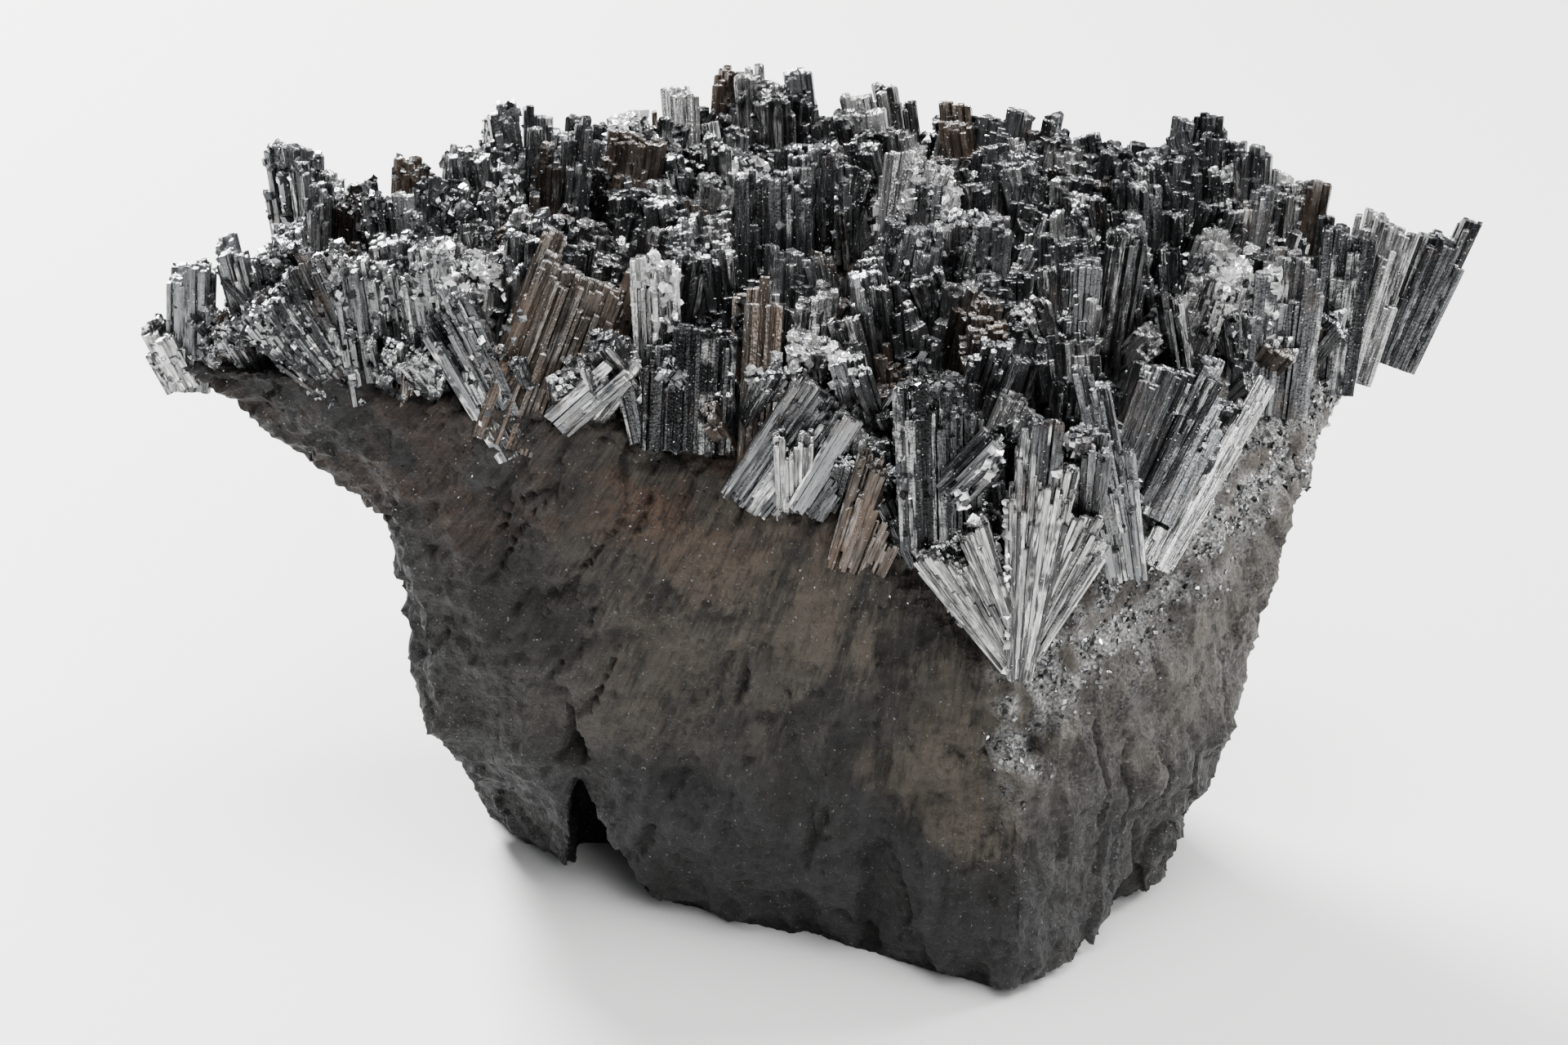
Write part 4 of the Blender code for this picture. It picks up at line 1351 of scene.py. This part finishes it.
    def shade_at(self, place: Vector) -> float:
        """How dark the ore is: iron-grey over its foot and in a slate patch, and painted shade over its
        left, as in shadow under the overhang, apart from a brown patch by the front ridge.
        """
        bent = place + noise.noise_vector(place * 0.22) * 4.0 + noise.noise_vector(place * 0.8)
        foot = 1.0 - eased(bent.z, 7.0, 16.0)
        # painted shade: the left half darker, as in shadow under the overhang
        left = 0.95 * (1.0 - eased(bent.x, -20.0, -3.0))
        slate = 0.95 * (1.0 - eased(abs(bent.x - 1.5), 2.5, 6.0)) * (1.0 - eased(bent.z, 14.0, 19.0))
        patch = 1.0 - eased((bent - Vector(self.brown_patch)).length, 3.5, 5.5)
        return max(foot, left, slate) * (1.0 - patch * 0.9)

    def rust_at(self, place: Vector) -> float:
        """How rusty the ore is: in a patch under the crystals left of the middle, and in traces."""
        near = 1.0 - eased((place - Vector(self.rust_patch)).length, 2.5, 7.0)
        trace = eased(place.z, 18.0, 25.0) * 0.4
        patch = noise.noise(place * 0.3 + Vector((9, 2, 4))) + 0.5 * noise.noise(place * 0.9)
        return max(near * 0.8, trace) * eased(patch, -0.2, 0.45)

    def band_at(self, place: Vector) -> float:
        """How thickly silvery grains cover the ore: along the right rim and down the front ridge."""
        rim = 19.5 + (place.x - 11.0) * 0.62
        behind = eased(place.y + noise.noise(place * 0.3) * 5.0, 1.0, 8.0)
        along_rim = eased(place.x, 9.5, 12.0) * eased(place.z, rim - 8.5, rim - 2.0) * (1.0 - behind)
        ridge = 1.0 - eased(abs(place.x - 11.8), 0.4, 2.2)
        down_ridge = ridge * eased(place.z, 9.0, 17.0) * (1.0 - eased(place.y, -13.0, -8.0)) * 0.8
        return max(along_rim, down_ridge) * eased(noise.noise(place * 0.6) + 0.35, 0.0, 0.5)


# ---------------------------------------------------------------- grains

# painted glints: the places and radii, in mm, of the patches where the brightest highlights fall
GLINT_PATCHES = (
    (0.0, -12.2, 32.0, 1.9), (9.5, -18.6, 28.6, 1.5), (6.6, -0.6, 36.0, 2.4), (23.8, -6.5, 35.2, 1.8),
    (-6.4, -10.6, 37.6, 1.3), (-16.0, -8.5, 36.0, 2.0), (-1.2, 1.5, 38.5, 2.0), (19.3, 8.0, 40.0, 2.2),
    (30.8, 3.6, 37.8, 1.8), (13.0, -18.4, 30.8, 0.9), (2.6, -13.8, 34.0, 0.9), (-9.0, 6.5, 39.6, 2.0),
)  # fmt: skip
GLINT_FADE = (0.6, 1.2)  # a patch thins out between these shares of its radius


def sparkle_at(place: Vector) -> float:
    """How thickly small loose sparkles lie on the ore: only near the crystals' roots."""
    below = 22.0 + max(0.0, -place.x - 8.0) * 0.3
    return eased(place.z, below - 4.0, below + 4.0) * eased(noise.noise(place * 0.5), -0.1, 0.4)


def silver_at(place: Vector) -> float:
    """How thickly silvery grains cover the crystals: all over the left end, in small patches elsewhere."""
    left = 1.0 - eased(place.x, -17.0, -11.0)
    patch = eased(noise.noise(place * 0.22 + Vector((4, 1, 7))), 0.25, 0.42) * 0.6
    return max(left, patch) * eased(noise.noise(place * 0.55), -0.25, 0.25) * eased(place.z, 28.0, 31.0)


def glint_at(place: Vector) -> float:
    """How thickly painted glints stand at a place: near-white grains in the few small patches where the
    highlights fall most.
    """
    near = 0.0
    for *middle, radius in GLINT_PATCHES:
        away = (place - Vector(middle)).length / radius
        near = max(near, 1.0 - eased(away, *GLINT_FADE))
    return near * eased(noise.noise(place * 1.1), -0.2, 0.2)


def weighted(surface: Mesh, rule: Callable[[Vector], float]) -> Mesh:
    """A copy of a surface, weighted by that rule."""
    ground = surface.copy()
    store(ground, "weight", [rule(in_mm(v.co)) for v in ground.vertices])
    return ground


@dataclass
class GrainCrust:
    """Small bright grains strewn over part of a surface."""

    name: str
    density: float  # grains per square mm
    sizes: Pair
    tone: Tone
    seed: int

    def build(self, shop: Workshop, ground: Mesh) -> None:
        """Strews the grains over that ground, which is used up, as thickly as its weight says."""
        values = {
            "Forms": shop.grains,
            "Material": shop.finishes[self.tone],
            "Density": self.density / MM**2,
            "Smallest": self.sizes[0] * MM,
            "Largest": self.sizes[1] * MM,
            "Seed": self.seed,
        }
        mesh = run_tree(self.name, ground, shop.grain_tree, values)
        drop(mesh, (*OreBlock.MASKS, "weight"))
        piece = add_piece(self.name, mesh)


# ---------------------------------------------------------------- studio


@dataclass
class Studio:
    """A plain pale floor, soft lights and the camera.

    Each light has its place and size in mm, and its power in watts.
    """

    LIGHTS = {
        "key": ((-150.0, 230.0, 230.0), 110.0, 6.5),
        "overhead": ((20.0, -60.0, 330.0), 200.0, 2.3),
        "front_fill": ((120.0, -260.0, 220.0), 200.0, 0.9),
        "right_rim": ((240.0, 60.0, 160.0), 70.0, 1.2),
    }

    target: Vector = field(default_factory=lambda: in_scene(Vector((0.0, 0.0, 18.0))))
    distance: float = 0.2
    elevation: float = 26.0
    lens: float = 85.0
    near_limit: float = 0.005
    floor_size: float = 3.0
    floor_colour: Triple = (0.62, 0.62, 0.612)
    sky: Triple = (0.5, 0.51, 0.53)
    sky_strength: float = 0.45

    def camera(self) -> None:
        """The camera, straight in front and above."""
        data = bpy.data.cameras.new("camera")
        data.lens = self.lens
        data.clip_start = self.near_limit
        camera = linked("camera", data)
        angle = math.radians(self.elevation)
        back = Vector((0.0, -math.cos(angle), math.sin(angle)))
        camera.location = self.target + back * self.distance
        camera.rotation_euler = (-back).to_track_quat("-Z", "Y").to_euler()
        bpy.context.scene.camera = camera

    def light(self, name: str, place: Triple, size: float, power: float) -> None:
        """A soft square light that looks at the specimen."""
        data = bpy.data.lights.new(name, "AREA")
        data.size = size * MM
        data.energy = power
        lamp = linked(name, data)
        lamp.location = Vector(place) * MM
        lamp.rotation_euler = (self.target - lamp.location).to_track_quat("-Z", "Y").to_euler()

    def floor(self) -> None:
        """A wide pale floor."""
        bm = bmesh.new()
        bmesh.ops.create_grid(bm, x_segments=1, y_segments=1, size=self.floor_size)
        mesh = mesh_from(bm, "floor")
        finish = {"Base Color": (*self.floor_colour, 1.0), "Roughness": 0.6}
        mesh.materials.append(Shader("pale_floor").finish(finish))
        floor = linked("floor", mesh)

    def world(self) -> None:
        """A dim even sky."""
        world = bpy.data.worlds.new("studio")
        world.use_nodes = True
        background = world.node_tree.nodes["Background"].inputs
        background["Color"].default_value = (*self.sky, 1.0)
        background["Strength"].default_value = self.sky_strength
        bpy.context.scene.world = world

    def build(self) -> None:
        """Sets the studio up."""
        self.camera()
        self.floor()
        self.world()
        for name, (place, size, power) in self.LIGHTS.items():
            self.light(name, place, size, power)


def main() -> None:
    """Builds the studio, then the specimen piece by piece."""
    logging.basicConfig(level=logging.INFO, format="%(name)s: %(message)s")
    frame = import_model()
    noise.seed_set(NOISE_SEED)
    Studio().build()
    shop = Workshop(frame)
    block = OreBlock()
    ore = block.build(shop)
    for part in (*SHEAVES, Druse(), *SPRIGS):
        part.build(shop)
    GrainCrust("rim_grains", 9.0, (0.09, 0.24), Tone.GRANULAR, 3).build(shop, weighted(ore, block.band_at))
    GrainCrust("ore_sparkles", 1.8, (0.04, 0.1), Tone.GRANULAR, 4).build(shop, weighted(ore, sparkle_at))
    GrainCrust("silver_crust", 6.0, (0.12, 0.34), Tone.GRANULAR, 5).build(shop, shop.ground(silver_at))
    # painted glints: near-white grains strewn where the highlights fall
    GrainCrust("glints", 22.0, (0.14, 0.4), Tone.BRIGHT, 6).build(shop, shop.ground(glint_at))
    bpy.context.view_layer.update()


if __name__ == "__main__":
    main()
